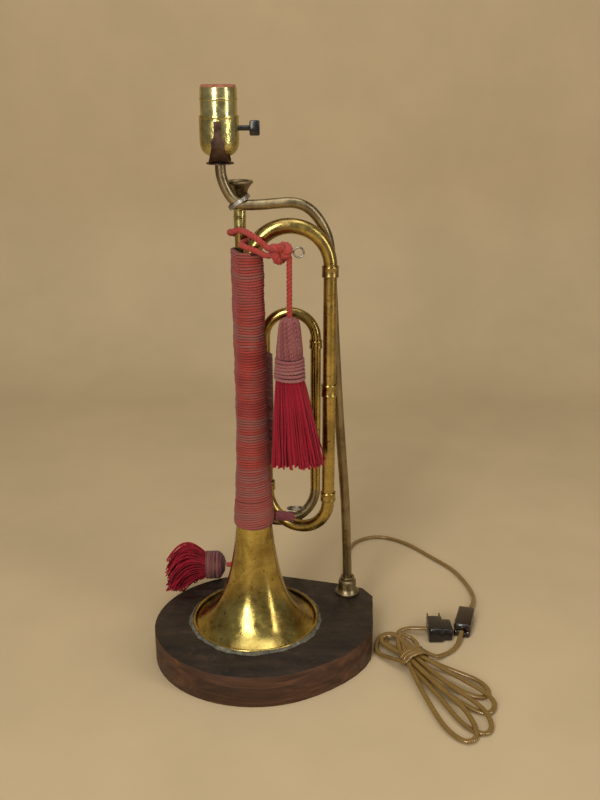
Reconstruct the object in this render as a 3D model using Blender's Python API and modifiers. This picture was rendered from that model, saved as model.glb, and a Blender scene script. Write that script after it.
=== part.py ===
"""Table lamp made from a corded bugle: bell down on a wooden base, lamp pipe, turn-key socket, tassels.

Frame: metres, +Z up, origin on the underside of the base below the bell's axis, mouthpiece side to -X.
"""
import math

import bmesh
import bpy
from mathutils import Matrix, Vector

COLLECTION = "bugle_lamp"
GAP = 0.0003                      # clearance between pieces that touch

# Wooden base: an ellipse with a squared shoulder at its back right corner
BASE_THICKNESS = 0.033
BASE_HALF_WIDTH = 0.104
BASE_HALF_DEPTH = 0.0955
BASE_CENTRE = (0.0015, -0.0075)
SHOULDER_WIDTH = 0.1235           # from the bell's axis to the straight right side
SHOULDER_CHAMFER = (0.010, 0.0165)
SHOULDER_BACK = 0.058             # where the chamfer meets the back edge
BASE_EDGE_ROUND = 0.002
PIPE_FOOT = (0.0965, 0.050)       # centre of the pipe's hole
NUT_RECESS_RADIUS = 0.013
NUT_RECESS_DEPTH = 0.014
CHANNEL_WIDTH = 0.008
CHANNEL_HEIGHT = 0.008

# Bell: the horn maker's curve, R = rim * (a / (a + height)) ** power
BELL_RIM_RADIUS = 0.0612
BELL_FLARE_START = 0.022
BELL_FLARE_POWER = 0.70
BELL_WALL = 0.0008
BELL_SEAM_Z = 0.103                # where the flare meets the bell's tube
RIM_WIRE_RADIUS = 0.0015
BEDDING_WIDTH = 0.0035
BEDDING_HEIGHT = 0.0018

# Main tubing, in the plane of the bell's axis
BOW_SPAN = 0.073                  # bell tube to outer leg
BOW_CENTRE_Z = 0.398
BOW_RADIUS_BELL_SIDE = 0.0080
OUTER_TUBE_RADIUS = 0.0062
LOW_BOW_Z = 0.166                 # where the two low bows begin
OUTER_JOINT_Z = 0.281
TUBE_WALL = 0.0007
FERRULE_WALL = 0.0008
FERRULE_LENGTH = 0.012
BOW_SEGMENTS = 12
BOW_LEAD = 0.0012                 # straight stretch at each end of a bow

# Inner tubing, behind the main plane
INNER_LEFT = (0.0135, 0.0262)     # X, Y of the left inner leg at its foot
INNER_RIGHT = (0.0610, 0.0300)
LEAD_FOOT = (-0.0085, 0.0268)
SMALL_BOW_Z = 0.3255
SMALL_BOW_LEFT = (0.0120, 0.0225)
SMALL_BOW_RIGHT = (0.0605, 0.0200)
INNER_TUBE_RADIUS = 0.0050
LEAD_TOP = (-0.0090, 0.0165)
LEAD_TOP_Z = 0.4300
LEAD_RADIUS = 0.0050

# Mouthpiece in its receiver
RECEIVER_RADIUS = 0.0056
RECEIVER_BAND = 0.0069
RECEIVER_LENGTH = 0.0190
MOUTH_RIM_RADIUS = 0.0128
MOUTH_RIM_Z = 0.4735
CUP_DEPTH = 0.0130
SHANK_RADIUS = 0.0046
THROAT_RADIUS = 0.0021

# Cord wrap round the bell tube and the lead pipe, two layers at the top
WRAP_LOW_Z = 0.142
WRAP_JOIN_Z = 0.170               # above it the wrap takes in the lead pipe too
WRAP_TOP_Z = 0.405
WRAP_THICKNESS_LOW = 0.0022
WRAP_THICKNESS_TOP = 0.0050
INNER_WRAP_RADIUS = 0.0067
INNER_WRAP_LOW_Z = 0.190
INNER_WRAP_TOP_Z = 0.318
WRAP_END_RADIUS = 0.0050
WRAP_END_CENTRE = (0.0300, 0.0040, 0.1475)
WRAP_END_LENGTH = 0.0190
LOW_RING_RADIUS = 0.0082
LOW_RING_CENTRE = (0.0412, 0.0219, 0.1468)
RING_WIRE = 0.0009

# Tassel cord, knot and hanging tassel
CORD_RADIUS = 0.00275
KNOT_CENTRE = (0.0280, -0.0165, 0.4150)
KNOT_HALF = (0.0110, 0.0082, 0.0098)
KNOT_RING_RADIUS = 0.0042
TASSEL_X = 0.0360
TASSEL_Y = -0.0205
TASSEL_CORD_TOP = 0.4072
HEAD_TOP = 0.3560
HEAD_LOW = 0.3195
HEAD_RADIUS = 0.0118
BANDS_LOW = 0.2985
BAND_COUNT = 6
SKIRT_LOW = 0.2110
SKIRT_TOP_RADIUS = 0.0140
SKIRT_LOW_RADIUS = 0.0260
SKIRT_FLATNESS = 0.52
SKIRT_SHIFT = 0.0080              # the skirt hangs a little to the right

# Second tassel, lying on the base's back edge
REAR_HEAD = (-0.0360, 0.0830, 0.0478)
REAR_HEAD_LENGTH = 0.0230
REAR_HEAD_RADIUS = 0.0152
REAR_SKIRT_RADIUS = 0.0235
REAR_SKIRT_DRIFT = [              # from the head's end to the strands' tips
    (-0.0015, 0.0, 0.0), (-0.0140, -0.0026, -0.0005), (-0.0270, -0.0070, -0.0020),
    (-0.0400, -0.0130, -0.0050)]

# Lamp pipe, its foot and the joint at the mouthpiece
PIPE_RADIUS = 0.00475
PIPE_WALL = 0.0011
FLANGE_RADIUS = 0.0130
FLANGE_HEIGHT = 0.0195
NUT_ACROSS_FLATS = 0.0165
NUT_HEIGHT = 0.0045
BINDING_WIRE = 0.0009
BINDING_SLANT = math.radians(32)
BINDING_REACH = 0.0100
BINDING_RISE = 0.0020             # its middle above the pipe's axis

# Socket, a medium screw base with a turn key
SOCKET_AXIS = (-0.0245, 0.0034)
SADDLE_Z = 0.4920
SADDLE_SHEET = 0.0013
SADDLE_TOP_Z = 0.5260
CAP_RADIUS = 0.0172
CAP_LOW_Z = 0.4955
CAP_TOP_Z = 0.5300
CAP_WALL = 0.0009
SHELL_RADIUS = 0.0160
SHELL_LOW_Z = 0.5235
SHELL_TOP_Z = 0.5533
LINER_TOP_Z = 0.5553
SCREW_MINOR_RADIUS = 0.0127
THREAD_DEPTH = 0.0006
KEY_Z = 0.5195
KEY_STEM_RADIUS = 0.0023
KEY_HEAD = (0.0090, 0.0040, 0.0130)

# Power cord, inline switch and plug
FLOOR_CORD_RADIUS = 0.0022
WIRING_RADIUS = 0.0020
SWITCH_CENTRE = (0.2215, 0.0310)
SWITCH_TURN = math.radians(73.0)
SWITCH_SIZE = (0.0380, 0.0175, 0.0160)
WHEEL_RADIUS = 0.0072
WHEEL_THICKNESS = 0.0034
PLUG_CENTRE = (0.1930, 0.0165)
PLUG_BODY = (0.0165, 0.0280, 0.0165)
PLUG_NOSE = (0.0090, 0.0220, 0.0135)
BLADE = (0.0015, 0.0155, 0.0063)
BLADE_PITCH = 0.0127
HANK_HEIGHT = 0.0125

PIPE_ROUTE = [
    (0.0965, 0.0500, 0.0085), (0.0965, 0.0500, 0.0330), (0.0963, 0.0497, 0.0550),
    (0.0946, 0.0465, 0.0980), (0.0920, 0.0420, 0.1470), (0.0873, 0.0350, 0.2050),
    (0.0828, 0.0280, 0.2610), (0.0778, 0.0195, 0.3350), (0.0754, 0.0160, 0.3740),
    (0.0722, 0.0132, 0.4160), (0.0653, 0.0105, 0.4355), (0.0545, 0.0085, 0.4490),
    (0.0410, 0.0070, 0.4550), (0.0232, 0.0055, 0.4547), (0.0117, 0.0045, 0.4538),
    (-0.0040, 0.0034, 0.4538), (-0.0125, 0.0034, 0.4572), (-0.0190, 0.0034, 0.4660),
    (-0.0235, 0.0034, 0.4780), (-0.0245, 0.0034, 0.4890), (-0.0245, 0.0034, 0.5003),
]
WIRING_FOOT_ROUTE = [
    (0.0965, 0.0640, 0.0030), (0.0965, 0.0580, 0.0030), (0.0965, 0.0525, 0.0035),
    (0.0965, 0.0502, 0.0060), (0.0965, 0.0500, 0.0120),
]
LOOP_ROUTE = [
    (0.0163, -0.0150, 0.4190), (0.0085, -0.0128, 0.4255), (0.0000, -0.0065, 0.4300),
    (-0.0080, 0.0045, 0.4310), (-0.0160, 0.0085, 0.4290), (-0.0184, 0.0160, 0.4270),
    (-0.0155, 0.0228, 0.4250), (-0.0085, 0.0251, 0.4235), (-0.0010, 0.0215, 0.4225),
    (0.0012, 0.0145, 0.4215), (-0.0028, 0.0078, 0.4205), (-0.0064, 0.0015, 0.4200),
    (-0.0052, -0.0070, 0.4190), (0.0022, -0.0120, 0.4170), (0.0095, -0.0138, 0.4145),
    (0.0160, -0.0160, 0.4120),
]
REAR_CORD_ROUTE = [
    (-0.0120, 0.0370, 0.1405), (-0.0145, 0.0440, 0.1250), (-0.0170, 0.0540, 0.1050),
    (-0.0200, 0.0650, 0.0850), (-0.0225, 0.0750, 0.0680), (-0.0255, 0.0815, 0.0550),
    (-0.0305, 0.0830, 0.0484), (-0.0357, 0.0830, 0.0478),
]
CORD_BASE_ROUTE = [
    (0.0965, 0.0643, 0.0030), (0.0967, 0.0800, 0.0024), (0.0973, 0.1050, 0.0024),
    (0.0985, 0.1350, 0.0024), (0.1005, 0.1650, 0.0024), (0.1045, 0.1950, 0.0024),
    (0.1140, 0.2180, 0.0024), (0.1290, 0.2310, 0.0024), (0.1450, 0.2350, 0.0024),
    (0.1620, 0.2300, 0.0024), (0.1830, 0.2130, 0.0024), (0.2070, 0.1810, 0.0024),
    (0.2270, 0.1520, 0.0024), (0.2380, 0.1200, 0.0024), (0.2415, 0.0920, 0.0030),
    (0.2375, 0.0700, 0.0060), (0.2300, 0.0540, 0.0080), (0.2272, 0.0496, 0.0080),
]
CORD_MIDDLE_ROUTE = [
    (0.2158, 0.0124, 0.0080), (0.2130, 0.0040, 0.0065), (0.2085, -0.0060, 0.0035),
    (0.2010, -0.0155, 0.0026), (0.1920, -0.0228, 0.0032), (0.1828, -0.0296, 0.0045),
]
CORD_PLUG_ROUTE = [
    (0.1499, 0.0149, 0.0055), (0.1550, 0.0190, 0.0060), (0.1625, 0.0203, 0.0068),
    (0.1710, 0.0182, 0.0082), (0.1797, 0.0172, 0.0085),
]
HANK_SPINE = [
    (0.1400, 0.0030, 0.0150), (0.1560, -0.0350, 0.0200), (0.1850, -0.0900, 0.0330),
    (0.2000, -0.1200, 0.0280),
]


# ---------------------------------------------------------------- helpers

def clear_scene():
    for item in list(bpy.data.objects):
        bpy.data.objects.remove(item, do_unlink=True)
    for group in list(bpy.data.collections):
        bpy.data.collections.remove(group)


def make_collection(name):
    group = bpy.data.collections.new(name)
    bpy.context.scene.collection.children.link(group)
    return group


def material(name, colour, roughness, metallic=0.0):
    made = bpy.data.materials.new(name)
    made.use_nodes = True
    shader = made.node_tree.nodes["Principled BSDF"]
    shader.inputs["Base Color"].default_value = (*colour, 1.0)
    shader.inputs["Roughness"].default_value = roughness
    shader.inputs["Metallic"].default_value = metallic
    return made


def finish_kinds():
    """Colour, roughness and metallic value of each finish."""
    return {
        "wood": ((0.045, 0.024, 0.014), 0.55, 0.0),
        "brass": ((0.60, 0.45, 0.16), 0.28, 1.0),
        "dull_brass": ((0.34, 0.27, 0.13), 0.45, 1.0),
        "red_cord": ((0.33, 0.05, 0.04), 0.90, 0.0),
        "crimson": ((0.22, 0.01, 0.02), 0.85, 0.0),
        "putty": ((0.22, 0.20, 0.16), 0.80, 0.0),
        "steel": ((0.35, 0.34, 0.32), 0.40, 1.0),
        "bronze": ((0.10, 0.06, 0.045), 0.45, 0.8),
        "card": ((0.33, 0.12, 0.07), 0.90, 0.0),
        "ceramic": ((0.60, 0.56, 0.48), 0.40, 0.0),
        "black": ((0.012, 0.011, 0.012), 0.30, 0.0),
        "brown_plastic": ((0.030, 0.012, 0.010), 0.22, 0.0),
        "gold_cord": ((0.22, 0.14, 0.04), 0.35, 0.0),
    }


def give(item, kind):
    """Link an object into the model with a material of its own."""
    colour, roughness, metallic = finish_kinds()[kind]
    item.data.materials.clear()
    item.data.materials.append(material(item.name + "_finish", colour, roughness, metallic))
    bpy.data.collections[COLLECTION].objects.link(item)
    return item


def bare(name, mesh, group=None):
    item = bpy.data.objects.new(name, mesh)
    if group:
        bpy.data.collections[group].objects.link(item)
    return item


def turned_mesh(name, profile, closed):
    """Profile of (radius, height) at +X; an open one starts and ends on the axis."""
    mesh = bpy.data.meshes.new(name)
    points = [(radius, 0.0, height) for radius, height in profile]
    edges = [(i, i + 1) for i in range(len(points) - 1)]
    if closed:
        edges.append((len(points) - 1, 0))
    mesh.from_pydata(points, edges, [])
    return mesh


def turned(name, profile, kind, segments=20, closed=False, location=(0, 0, 0), rotation=None):
    item = bare(name, turned_mesh(name, profile, closed))
    screw = item.modifiers.new("turn", "SCREW")
    screw.steps = segments
    screw.render_steps = segments
    screw.use_merge_vertices = True
    screw.merge_threshold = 0.00001
    screw.use_smooth_shade = True
    item.location = location
    if rotation:
        item.rotation_euler = rotation
    return give(item, kind)


def sleeve_profile(inner, outer, low, high, bead=0.0):
    """Closed section of a ring: down its outer side, up its bore."""
    middle = (low + high) / 2
    section = [(outer, high)]
    if bead:
        section.append((outer + bead, middle))
    section += [(outer, low), (inner, low), (inner, high)]
    return section


def ring_between(radius, wall, sides):
    """Bore that clears a round tube although the ring has flat sides, and the outside."""
    bore = (radius + GAP) / math.cos(math.pi / sides)
    return bore, bore + wall


def wire_section(major, wire, count=8):
    return [(major + wire * math.cos(-2 * math.pi * i / count), wire * math.sin(-2 * math.pi * i / count))
            for i in range(count)]


def smooth_path(route, spacing, closed=False):
    """Points every spacing along a smooth curve through the route's own points."""
    points = [Vector(p) for p in route]
    count = len(points)
    dense = []
    spans = count if closed else count - 1
    for i in range(spans):
        if closed:
            before, start, end, after = (points[(i + k) % count] for k in (-1, 0, 1, 2))
        else:
            start, end = points[i], points[i + 1]
            before = points[i - 1] if i else start * 2 - end
            after = points[i + 2] if i + 2 < count else end * 2 - start
        for step in range(24):
            t = step / 24
            dense.append(0.5 * (2 * start + (end - before) * t
                                + (2 * before - 5 * start + 4 * end - after) * t * t
                                + (3 * start - before - 3 * end + after) * t ** 3))
    dense.append(points[0].copy() if closed else points[-1].copy())
    lengths = [0.0]
    for a, b in zip(dense, dense[1:]):
        lengths.append(lengths[-1] + (b - a).length)
    pieces = max(2, round(lengths[-1] / spacing))
    even, j = [], 0
    for k in range(pieces + 1):
        want = lengths[-1] * k / pieces
        while j < len(lengths) - 2 and lengths[j + 1] < want:
            j += 1
        part = (want - lengths[j]) / max(lengths[j + 1] - lengths[j], 1e-9)
        even.append(dense[j].lerp(dense[j + 1], part))
    return even[:-1] if closed else even


def curve_object(name, points, radius, resolution, caps, closed=False, scales=None):
    data = bpy.data.curves.new(name, "CURVE")
    data.dimensions = "3D"
    data.bevel_depth = radius
    data.bevel_resolution = resolution
    data.use_fill_caps = caps
    spline = data.splines.new("POLY")
    spline.points.add(len(points) - 1)
    for i, point in enumerate(points):
        spline.points[i].co = (*point, 1.0)
        spline.points[i].radius = scales[i] if scales else 1.0
    spline.use_cyclic_u = closed
    spline.use_smooth = True
    return bpy.data.objects.new(name, data)


def tube(name, points, radius, kind, resolution=2, scales=None, closed=False):
    return give(curve_object(name, points, radius, resolution, not closed, closed, scales), kind)


def as_mesh(item):
    """A curve object turned into a mesh object with its doubles merged."""
    scene = bpy.context.scene.collection
    scene.objects.link(item)
    bpy.context.view_layer.update()
    source = item.evaluated_get(bpy.context.evaluated_depsgraph_get())
    mesh = bpy.data.meshes.new_from_object(source)
    name = item.name
    matrix = item.matrix_world.copy()
    bpy.data.objects.remove(item, do_unlink=True)
    work = bmesh.new()
    work.from_mesh(mesh)
    bmesh.ops.remove_doubles(work, verts=work.verts, dist=0.00001)
    work.to_mesh(mesh)
    work.free()
    made = bpy.data.objects.new(name, mesh)
    made.matrix_world = matrix
    made.data.shade_smooth()
    return made


def hollow_tube(name, points, radius, wall, kind, resolution=3, scales=None):
    """Open-ended tube with a real wall."""
    item = as_mesh(curve_object(name, points, radius, resolution, False, scales=scales))
    shell = item.modifiers.new("wall", "SOLIDIFY")
    shell.thickness = wall
    shell.offset = -1.0
    shell.use_even_offset = True
    return give(item, kind)


def block_mesh(name, size):
    mesh = bpy.data.meshes.new(name)
    work = bmesh.new()
    bmesh.ops.create_cube(work, size=1.0)
    bmesh.ops.scale(work, vec=size, verts=work.verts)
    work.to_mesh(mesh)
    work.free()
    return mesh


def block(name, size, centre, kind, bevel=0.0, turn=0.0, segments=2):
    item = bare(name, block_mesh(name, size))
    item.location = centre
    item.rotation_euler = (0.0, 0.0, turn)
    if bevel:
        soften(item, bevel, segments)
    return give(item, kind)


def soften(item, width, segments=2, angle=math.radians(35)):
    edge = item.modifiers.new("edges", "BEVEL")
    edge.width = width
    edge.segments = segments
    edge.limit_method = "ANGLE"
    edge.angle_limit = angle


def cylinder_mesh(name, radius, depth, segments=24):
    mesh = bpy.data.meshes.new(name)
    work = bmesh.new()
    bmesh.ops.create_cone(work, cap_ends=True, segments=segments, radius1=radius, radius2=radius,
                          depth=depth)
    work.to_mesh(mesh)
    work.free()
    return mesh


def cut(item, cutter_mesh, location, rotation=(0, 0, 0)):
    """Take a hidden cutter's shape out of an object."""
    cutter = bare(item.name + "_cutter", cutter_mesh, COLLECTION + "_cutters")
    cutter.location = location
    cutter.rotation_euler = rotation
    cutter.hide_render = True
    cutter.display_type = "WIRE"
    boolean = item.modifiers.new("cut", "BOOLEAN")
    boolean.operation = "DIFFERENCE"
    boolean.solver = "EXACT"
    boolean.object = cutter


def flat_plate(name, outline, height, kind, low=0.0, bevel=0.0):
    """Flat outline drawn as a filled curve and extruded to its height."""
    data = bpy.data.curves.new(name, "CURVE")
    data.dimensions = "2D"
    data.fill_mode = "BOTH"
    data.extrude = height / 2
    spline = data.splines.new("POLY")
    spline.points.add(len(outline) - 1)
    for i, (x, y) in enumerate(outline):
        spline.points[i].co = (x, y, 0.0, 1.0)
    spline.use_cyclic_u = True
    item = as_mesh(bpy.data.objects.new(name, data))
    for corner in item.data.vertices:
        corner.co.z += low + height / 2
    if bevel:
        soften(item, bevel)
    return give(item, kind)


def leg_point(foot, top, foot_z, top_z, z):
    """Place of a straight leaning leg at height z."""
    share = (z - foot_z) / (top_z - foot_z)
    return Vector((foot[0] + (top[0] - foot[0]) * share, foot[1] + (top[1] - foot[1]) * share, z))


def bow_points(left, right, direction, segments=BOW_SEGMENTS):
    """Half circle from one leg's end to the other's, bulging up (1) or down (-1), with square ends."""
    left, right = Vector(left), Vector(right)
    lead = Vector((0, 0, direction * BOW_LEAD))
    centre = (left + right) / 2 + lead
    half = (left - right) / 2
    rise = Vector((0, 0, direction * half.length))
    angles = [math.pi * i / segments for i in range(segments + 1)]
    arc = [centre + half * math.cos(a) + rise * math.sin(a) for a in angles]
    return [left] + arc + [right]


def ferrule(name, radius, centre, along, kind="brass", length=FERRULE_LENGTH, bead=0.0004, sides=16):
    """Short sleeve round a tube, its axis along the tube."""
    bore, outer = ring_between(radius, FERRULE_WALL, sides)
    turn = Vector(along).to_track_quat("Z", "Y").to_euler()
    profile = sleeve_profile(bore, outer, -length / 2, length / 2, bead)
    return turned(name, profile, kind, sides, True, centre, turn)


# ---------------------------------------------------------------- wooden base

def base_outline():
    """Ellipse from the back round the left and front, an eased curve, and the squared shoulder."""
    cx, cy = BASE_CENTRE
    first, last = math.radians(84), math.radians(298)
    steps = 36
    outline = []
    for i in range(steps + 1):
        angle = first + (last - first) * i / steps
        outline.append((cx + BASE_HALF_WIDTH * math.cos(angle), cy + BASE_HALF_DEPTH * math.sin(angle)))
    start = Vector(outline[-1])
    tangent = Vector((-BASE_HALF_WIDTH * math.sin(last), BASE_HALF_DEPTH * math.cos(last))).normalized()
    end = Vector((SHOULDER_WIDTH - 0.0035, cy - 0.0045))
    handles = [start, start + tangent * 0.030, end - Vector((0, 0.035)), end]
    eased = 7
    for i in range(1, eased + 1):
        t = i / eased
        weights = ((1 - t) ** 3, 3 * t * (1 - t) ** 2, 3 * t * t * (1 - t), t ** 3)
        outline.append(tuple(sum((h * w for h, w in zip(handles, weights)), Vector((0, 0)))))
    chamfer_x, chamfer_y = SHOULDER_CHAMFER
    outline.append((SHOULDER_WIDTH, SHOULDER_BACK - chamfer_y))
    outline.append((SHOULDER_WIDTH - chamfer_x, SHOULDER_BACK))
    outline.append((SHOULDER_WIDTH - 0.033, SHOULDER_BACK + 0.009))
    return outline


def build_base():
    base = flat_plate("wood_base", base_outline(), BASE_THICKNESS, "wood", 0.0, BASE_EDGE_ROUND)
    x, y = PIPE_FOOT
    cut(base, cylinder_mesh("pipe_hole", PIPE_RADIUS + 0.0006, 0.1), (x, y, BASE_THICKNESS))
    cut(base, cylinder_mesh("nut_recess", NUT_RECESS_RADIUS, 2 * NUT_RECESS_DEPTH), (x, y, 0.0))
    length = 0.04
    cut(base, block_mesh("cord_channel", (CHANNEL_WIDTH, length, 2 * CHANNEL_HEIGHT)),
        (x, y + length / 2, 0.0))


# ---------------------------------------------------------------- bell

def bell_low():
    return BASE_THICKNESS + GAP


def bell_radius(z):
    height = max(z - bell_low(), 0.0)
    return BELL_RIM_RADIUS * (BELL_FLARE_START / (BELL_FLARE_START + height)) ** BELL_FLARE_POWER


def build_bell():
    top = BOW_CENTRE_Z - GAP
    rows = 9
    low = bell_low()
    flare = [low + (BELL_SEAM_Z - low) * (1 - i / rows) ** 1.6 for i in range(rows + 1)]
    seam = BELL_SEAM_Z + GAP
    tube = [seam + (top - seam) * (1 - i / rows) ** 1.6 for i in range(rows + 1)]
    for name, heights in (("bell", flare), ("bell_tube", tube)):
        outer = [(bell_radius(z), z) for z in heights]
        inner = [(radius - BELL_WALL, z) for radius, z in reversed(outer)]
        turned(name, outer + inner, "brass", 32, True)
    centre = BELL_RIM_RADIUS + GAP + RIM_WIRE_RADIUS + 0.0001
    rim = [(radius, low + RIM_WIRE_RADIUS + height)
           for radius, height in wire_section(centre, RIM_WIRE_RADIUS, 6)]
    turned("bell_rim", rim, "brass", 32, True)
    inside = centre + RIM_WIRE_RADIUS + GAP
    turned("bedding_ring", [(inside, low + BEDDING_HEIGHT), (inside + BEDDING_WIDTH, low),
                            (inside, low)], "putty", 32, True)


# ---------------------------------------------------------------- tubing

def build_main_tubing():
    bell_end = bell_radius(BOW_CENTRE_Z)
    ferrule("bell_ferrule", bell_end + 0.0002, (0, 0, BOW_CENTRE_Z - 0.003), (0, 0, 1), length=0.010)
    left, right = (0, 0, BOW_CENTRE_Z), (BOW_SPAN, 0, BOW_CENTRE_Z)
    points = bow_points(left, right, 1)
    share = OUTER_TUBE_RADIUS / BOW_RADIUS_BELL_SIDE
    scales = [1 + (share - 1) * i / (len(points) - 1) for i in range(len(points))]
    hollow_tube("top_bow", points, BOW_RADIUS_BELL_SIDE, TUBE_WALL, "brass", 3, scales)
    ferrule("top_bow_ferrule", OUTER_TUBE_RADIUS + 0.0003, (BOW_SPAN, 0, BOW_CENTRE_Z - 0.0035), (0, 0, 1),
            length=0.010)
    leg = [(BOW_SPAN, 0, BOW_CENTRE_Z - GAP), (BOW_SPAN, 0, LOW_BOW_Z + GAP)]
    hollow_tube("outer_leg", leg, OUTER_TUBE_RADIUS, TUBE_WALL, "brass")
    ferrule("outer_leg_ferrule", OUTER_TUBE_RADIUS, (BOW_SPAN, 0, OUTER_JOINT_Z), (0, 0, 1))
    ferrule("front_bow_ferrule_outer", OUTER_TUBE_RADIUS, (BOW_SPAN, 0, LOW_BOW_Z + 0.005), (0, 0, 1),
            length=0.009)
    front = bow_points((*INNER_LEFT, LOW_BOW_Z), (BOW_SPAN, 0, LOW_BOW_Z), -1)
    slim = INNER_TUBE_RADIUS + 0.0008
    taper = [(slim + (OUTER_TUBE_RADIUS - slim) * i / (len(front) - 1)) / OUTER_TUBE_RADIUS
             for i in range(len(front))]
    hollow_tube("front_bow", front, OUTER_TUBE_RADIUS, TUBE_WALL, "brass", 3, taper)


def build_inner_tubing():
    def left(z):
        return leg_point(INNER_LEFT, SMALL_BOW_LEFT, LOW_BOW_Z, SMALL_BOW_Z, z)

    def right(z):
        return leg_point(INNER_RIGHT, SMALL_BOW_RIGHT, LOW_BOW_Z, SMALL_BOW_Z, z)

    def lead(z):
        return leg_point(LEAD_FOOT, LEAD_TOP, LOW_BOW_Z, LEAD_TOP_Z, z)

    rise = 0.005
    ferrule("front_bow_ferrule_inner", INNER_TUBE_RADIUS + 0.0008, left(LOW_BOW_Z + rise),
            left(LOW_BOW_Z + 1) - left(LOW_BOW_Z), length=0.009)
    hollow_tube("inner_left_leg", [left(LOW_BOW_Z + GAP), left(SMALL_BOW_Z - GAP)], INNER_TUBE_RADIUS,
                TUBE_WALL, "brass")
    hollow_tube("small_bow", bow_points(left(SMALL_BOW_Z), right(SMALL_BOW_Z), 1), INNER_TUBE_RADIUS,
                TUBE_WALL, "brass")
    ferrule("small_bow_ferrule", INNER_TUBE_RADIUS, right(SMALL_BOW_Z - rise),
            right(SMALL_BOW_Z) - right(LOW_BOW_Z), length=0.008)
    hollow_tube("inner_right_leg", [right(SMALL_BOW_Z - GAP), right(LOW_BOW_Z + GAP)],
                INNER_TUBE_RADIUS, TUBE_WALL, "brass")
    hollow_tube("rear_bow", bow_points(lead(LOW_BOW_Z), right(LOW_BOW_Z), -1), INNER_TUBE_RADIUS,
                TUBE_WALL, "dull_brass")
    hollow_tube("leadpipe", [lead(LOW_BOW_Z + GAP), lead(LEAD_TOP_Z)], LEAD_RADIUS, TUBE_WALL, "brass")


def build_mouthpiece():
    low = LEAD_TOP_Z + GAP
    top = low + RECEIVER_LENGTH
    bore, _ = ring_between(SHANK_RADIUS, FERRULE_WALL, 20)
    socket = [(RECEIVER_BAND, top), (RECEIVER_BAND, top - 0.0016), (RECEIVER_RADIUS, top - 0.0022),
              (RECEIVER_RADIUS, top - 0.0072), (RECEIVER_BAND - 0.0008, top - 0.0080),
              (RECEIVER_RADIUS, top - 0.0090), (RECEIVER_RADIUS, low), (bore, low), (bore, top)]
    turned("mouthpiece_receiver", socket, "brass", 20, True, (*LEAD_TOP, 0))
    rim, cup = MOUTH_RIM_Z, MOUTH_RIM_Z - CUP_DEPTH
    foot = top - 0.012
    profile = [
        (MOUTH_RIM_RADIUS - 0.0015, rim), (MOUTH_RIM_RADIUS, rim - 0.0010),
        (MOUTH_RIM_RADIUS - 0.0010, rim - 0.0026), (0.0088, rim - 0.0062), (0.0070, rim - 0.0110),
        (0.0053, cup - 0.0035), (SHANK_RADIUS, cup - 0.0070), (SHANK_RADIUS, foot),
        (THROAT_RADIUS + 0.0012, foot), (THROAT_RADIUS, cup - 0.004), (THROAT_RADIUS + 0.0004, cup),
        (0.0058, rim - 0.0100), (0.0080, rim - 0.0045), (MOUTH_RIM_RADIUS - 0.0038, rim - 0.0004),
    ]
    turned("mouthpiece", profile, "brass", 20, True, (*LEAD_TOP, 0))


# ---------------------------------------------------------------- cord wraps and rings

def hull_ring(circles, z, count):
    """Outline at one height round circles of (x, y, radius), as a tight cord would lie."""
    ring = []
    for i in range(count):
        angle = 2 * math.pi * i / count
        normal = Vector((math.cos(angle), math.sin(angle)))
        x, y, radius = max(circles, key=lambda c: c[0] * normal.x + c[1] * normal.y + c[2])
        ring.append((x + radius * normal.x, y + radius * normal.y, z))
    return ring


def wrapped_circles(z, extra):
    """The bell tube and the lead pipe at height z, both grown by extra."""
    lead = leg_point(LEAD_FOOT, LEAD_TOP, LOW_BOW_Z, LEAD_TOP_Z, max(z, LOW_BOW_Z))
    return [(0.0, 0.0, bell_radius(z) + extra), (lead.x, lead.y, LEAD_RADIUS + extra)]


def wrap_growth(z):
    """How far the wrap's bore and its outside stand off the tubes at height z."""
    share = (z - WRAP_LOW_Z) / (WRAP_TOP_Z - WRAP_LOW_Z)
    bore = 0.0008 + 0.0015 * share
    return bore, bore + WRAP_THICKNESS_LOW + (WRAP_THICKNESS_TOP - WRAP_THICKNESS_LOW) * share


def build_main_wrap():
    """A turned sleeve on the bell's throat and, above it, a lofted one round both tubes."""
    steps = 3
    heights = [WRAP_JOIN_Z - GAP - (WRAP_JOIN_Z - GAP - WRAP_LOW_Z) * i / steps for i in range(steps + 1)]
    outer = [(bell_radius(z) + wrap_growth(z)[1], z) for z in heights]
    inner = [(bell_radius(z) + wrap_growth(z)[0], z) for z in reversed(heights)]
    turned("lower_cord_wrap", outer + inner, "red_cord", 28, True)
    rows, count = 6, 28
    verts, faces = [], []
    for side in (1, 0):
        for row in range(rows + 1):
            z = WRAP_JOIN_Z + (WRAP_TOP_Z - WRAP_JOIN_Z) * row / rows
            verts += hull_ring(wrapped_circles(z, wrap_growth(z)[side]), z, count)

    def at(inside, row, i):
        return (rows + 1) * count * inside + row * count + i % count

    for i in range(count):
        for row in range(rows):
            faces.append((at(0, row, i), at(0, row, i + 1), at(0, row + 1, i + 1), at(0, row + 1, i)))
            faces.append((at(1, row, i + 1), at(1, row, i), at(1, row + 1, i), at(1, row + 1, i + 1)))
        faces.append((at(0, rows, i), at(0, rows, i + 1), at(1, rows, i + 1), at(1, rows, i)))
        faces.append((at(0, 0, i + 1), at(0, 0, i), at(1, 0, i), at(1, 0, i + 1)))
    mesh = bpy.data.meshes.new("main_cord_wrap")
    mesh.from_pydata(verts, [], faces)
    give(bare("main_cord_wrap", mesh), "red_cord")


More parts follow.
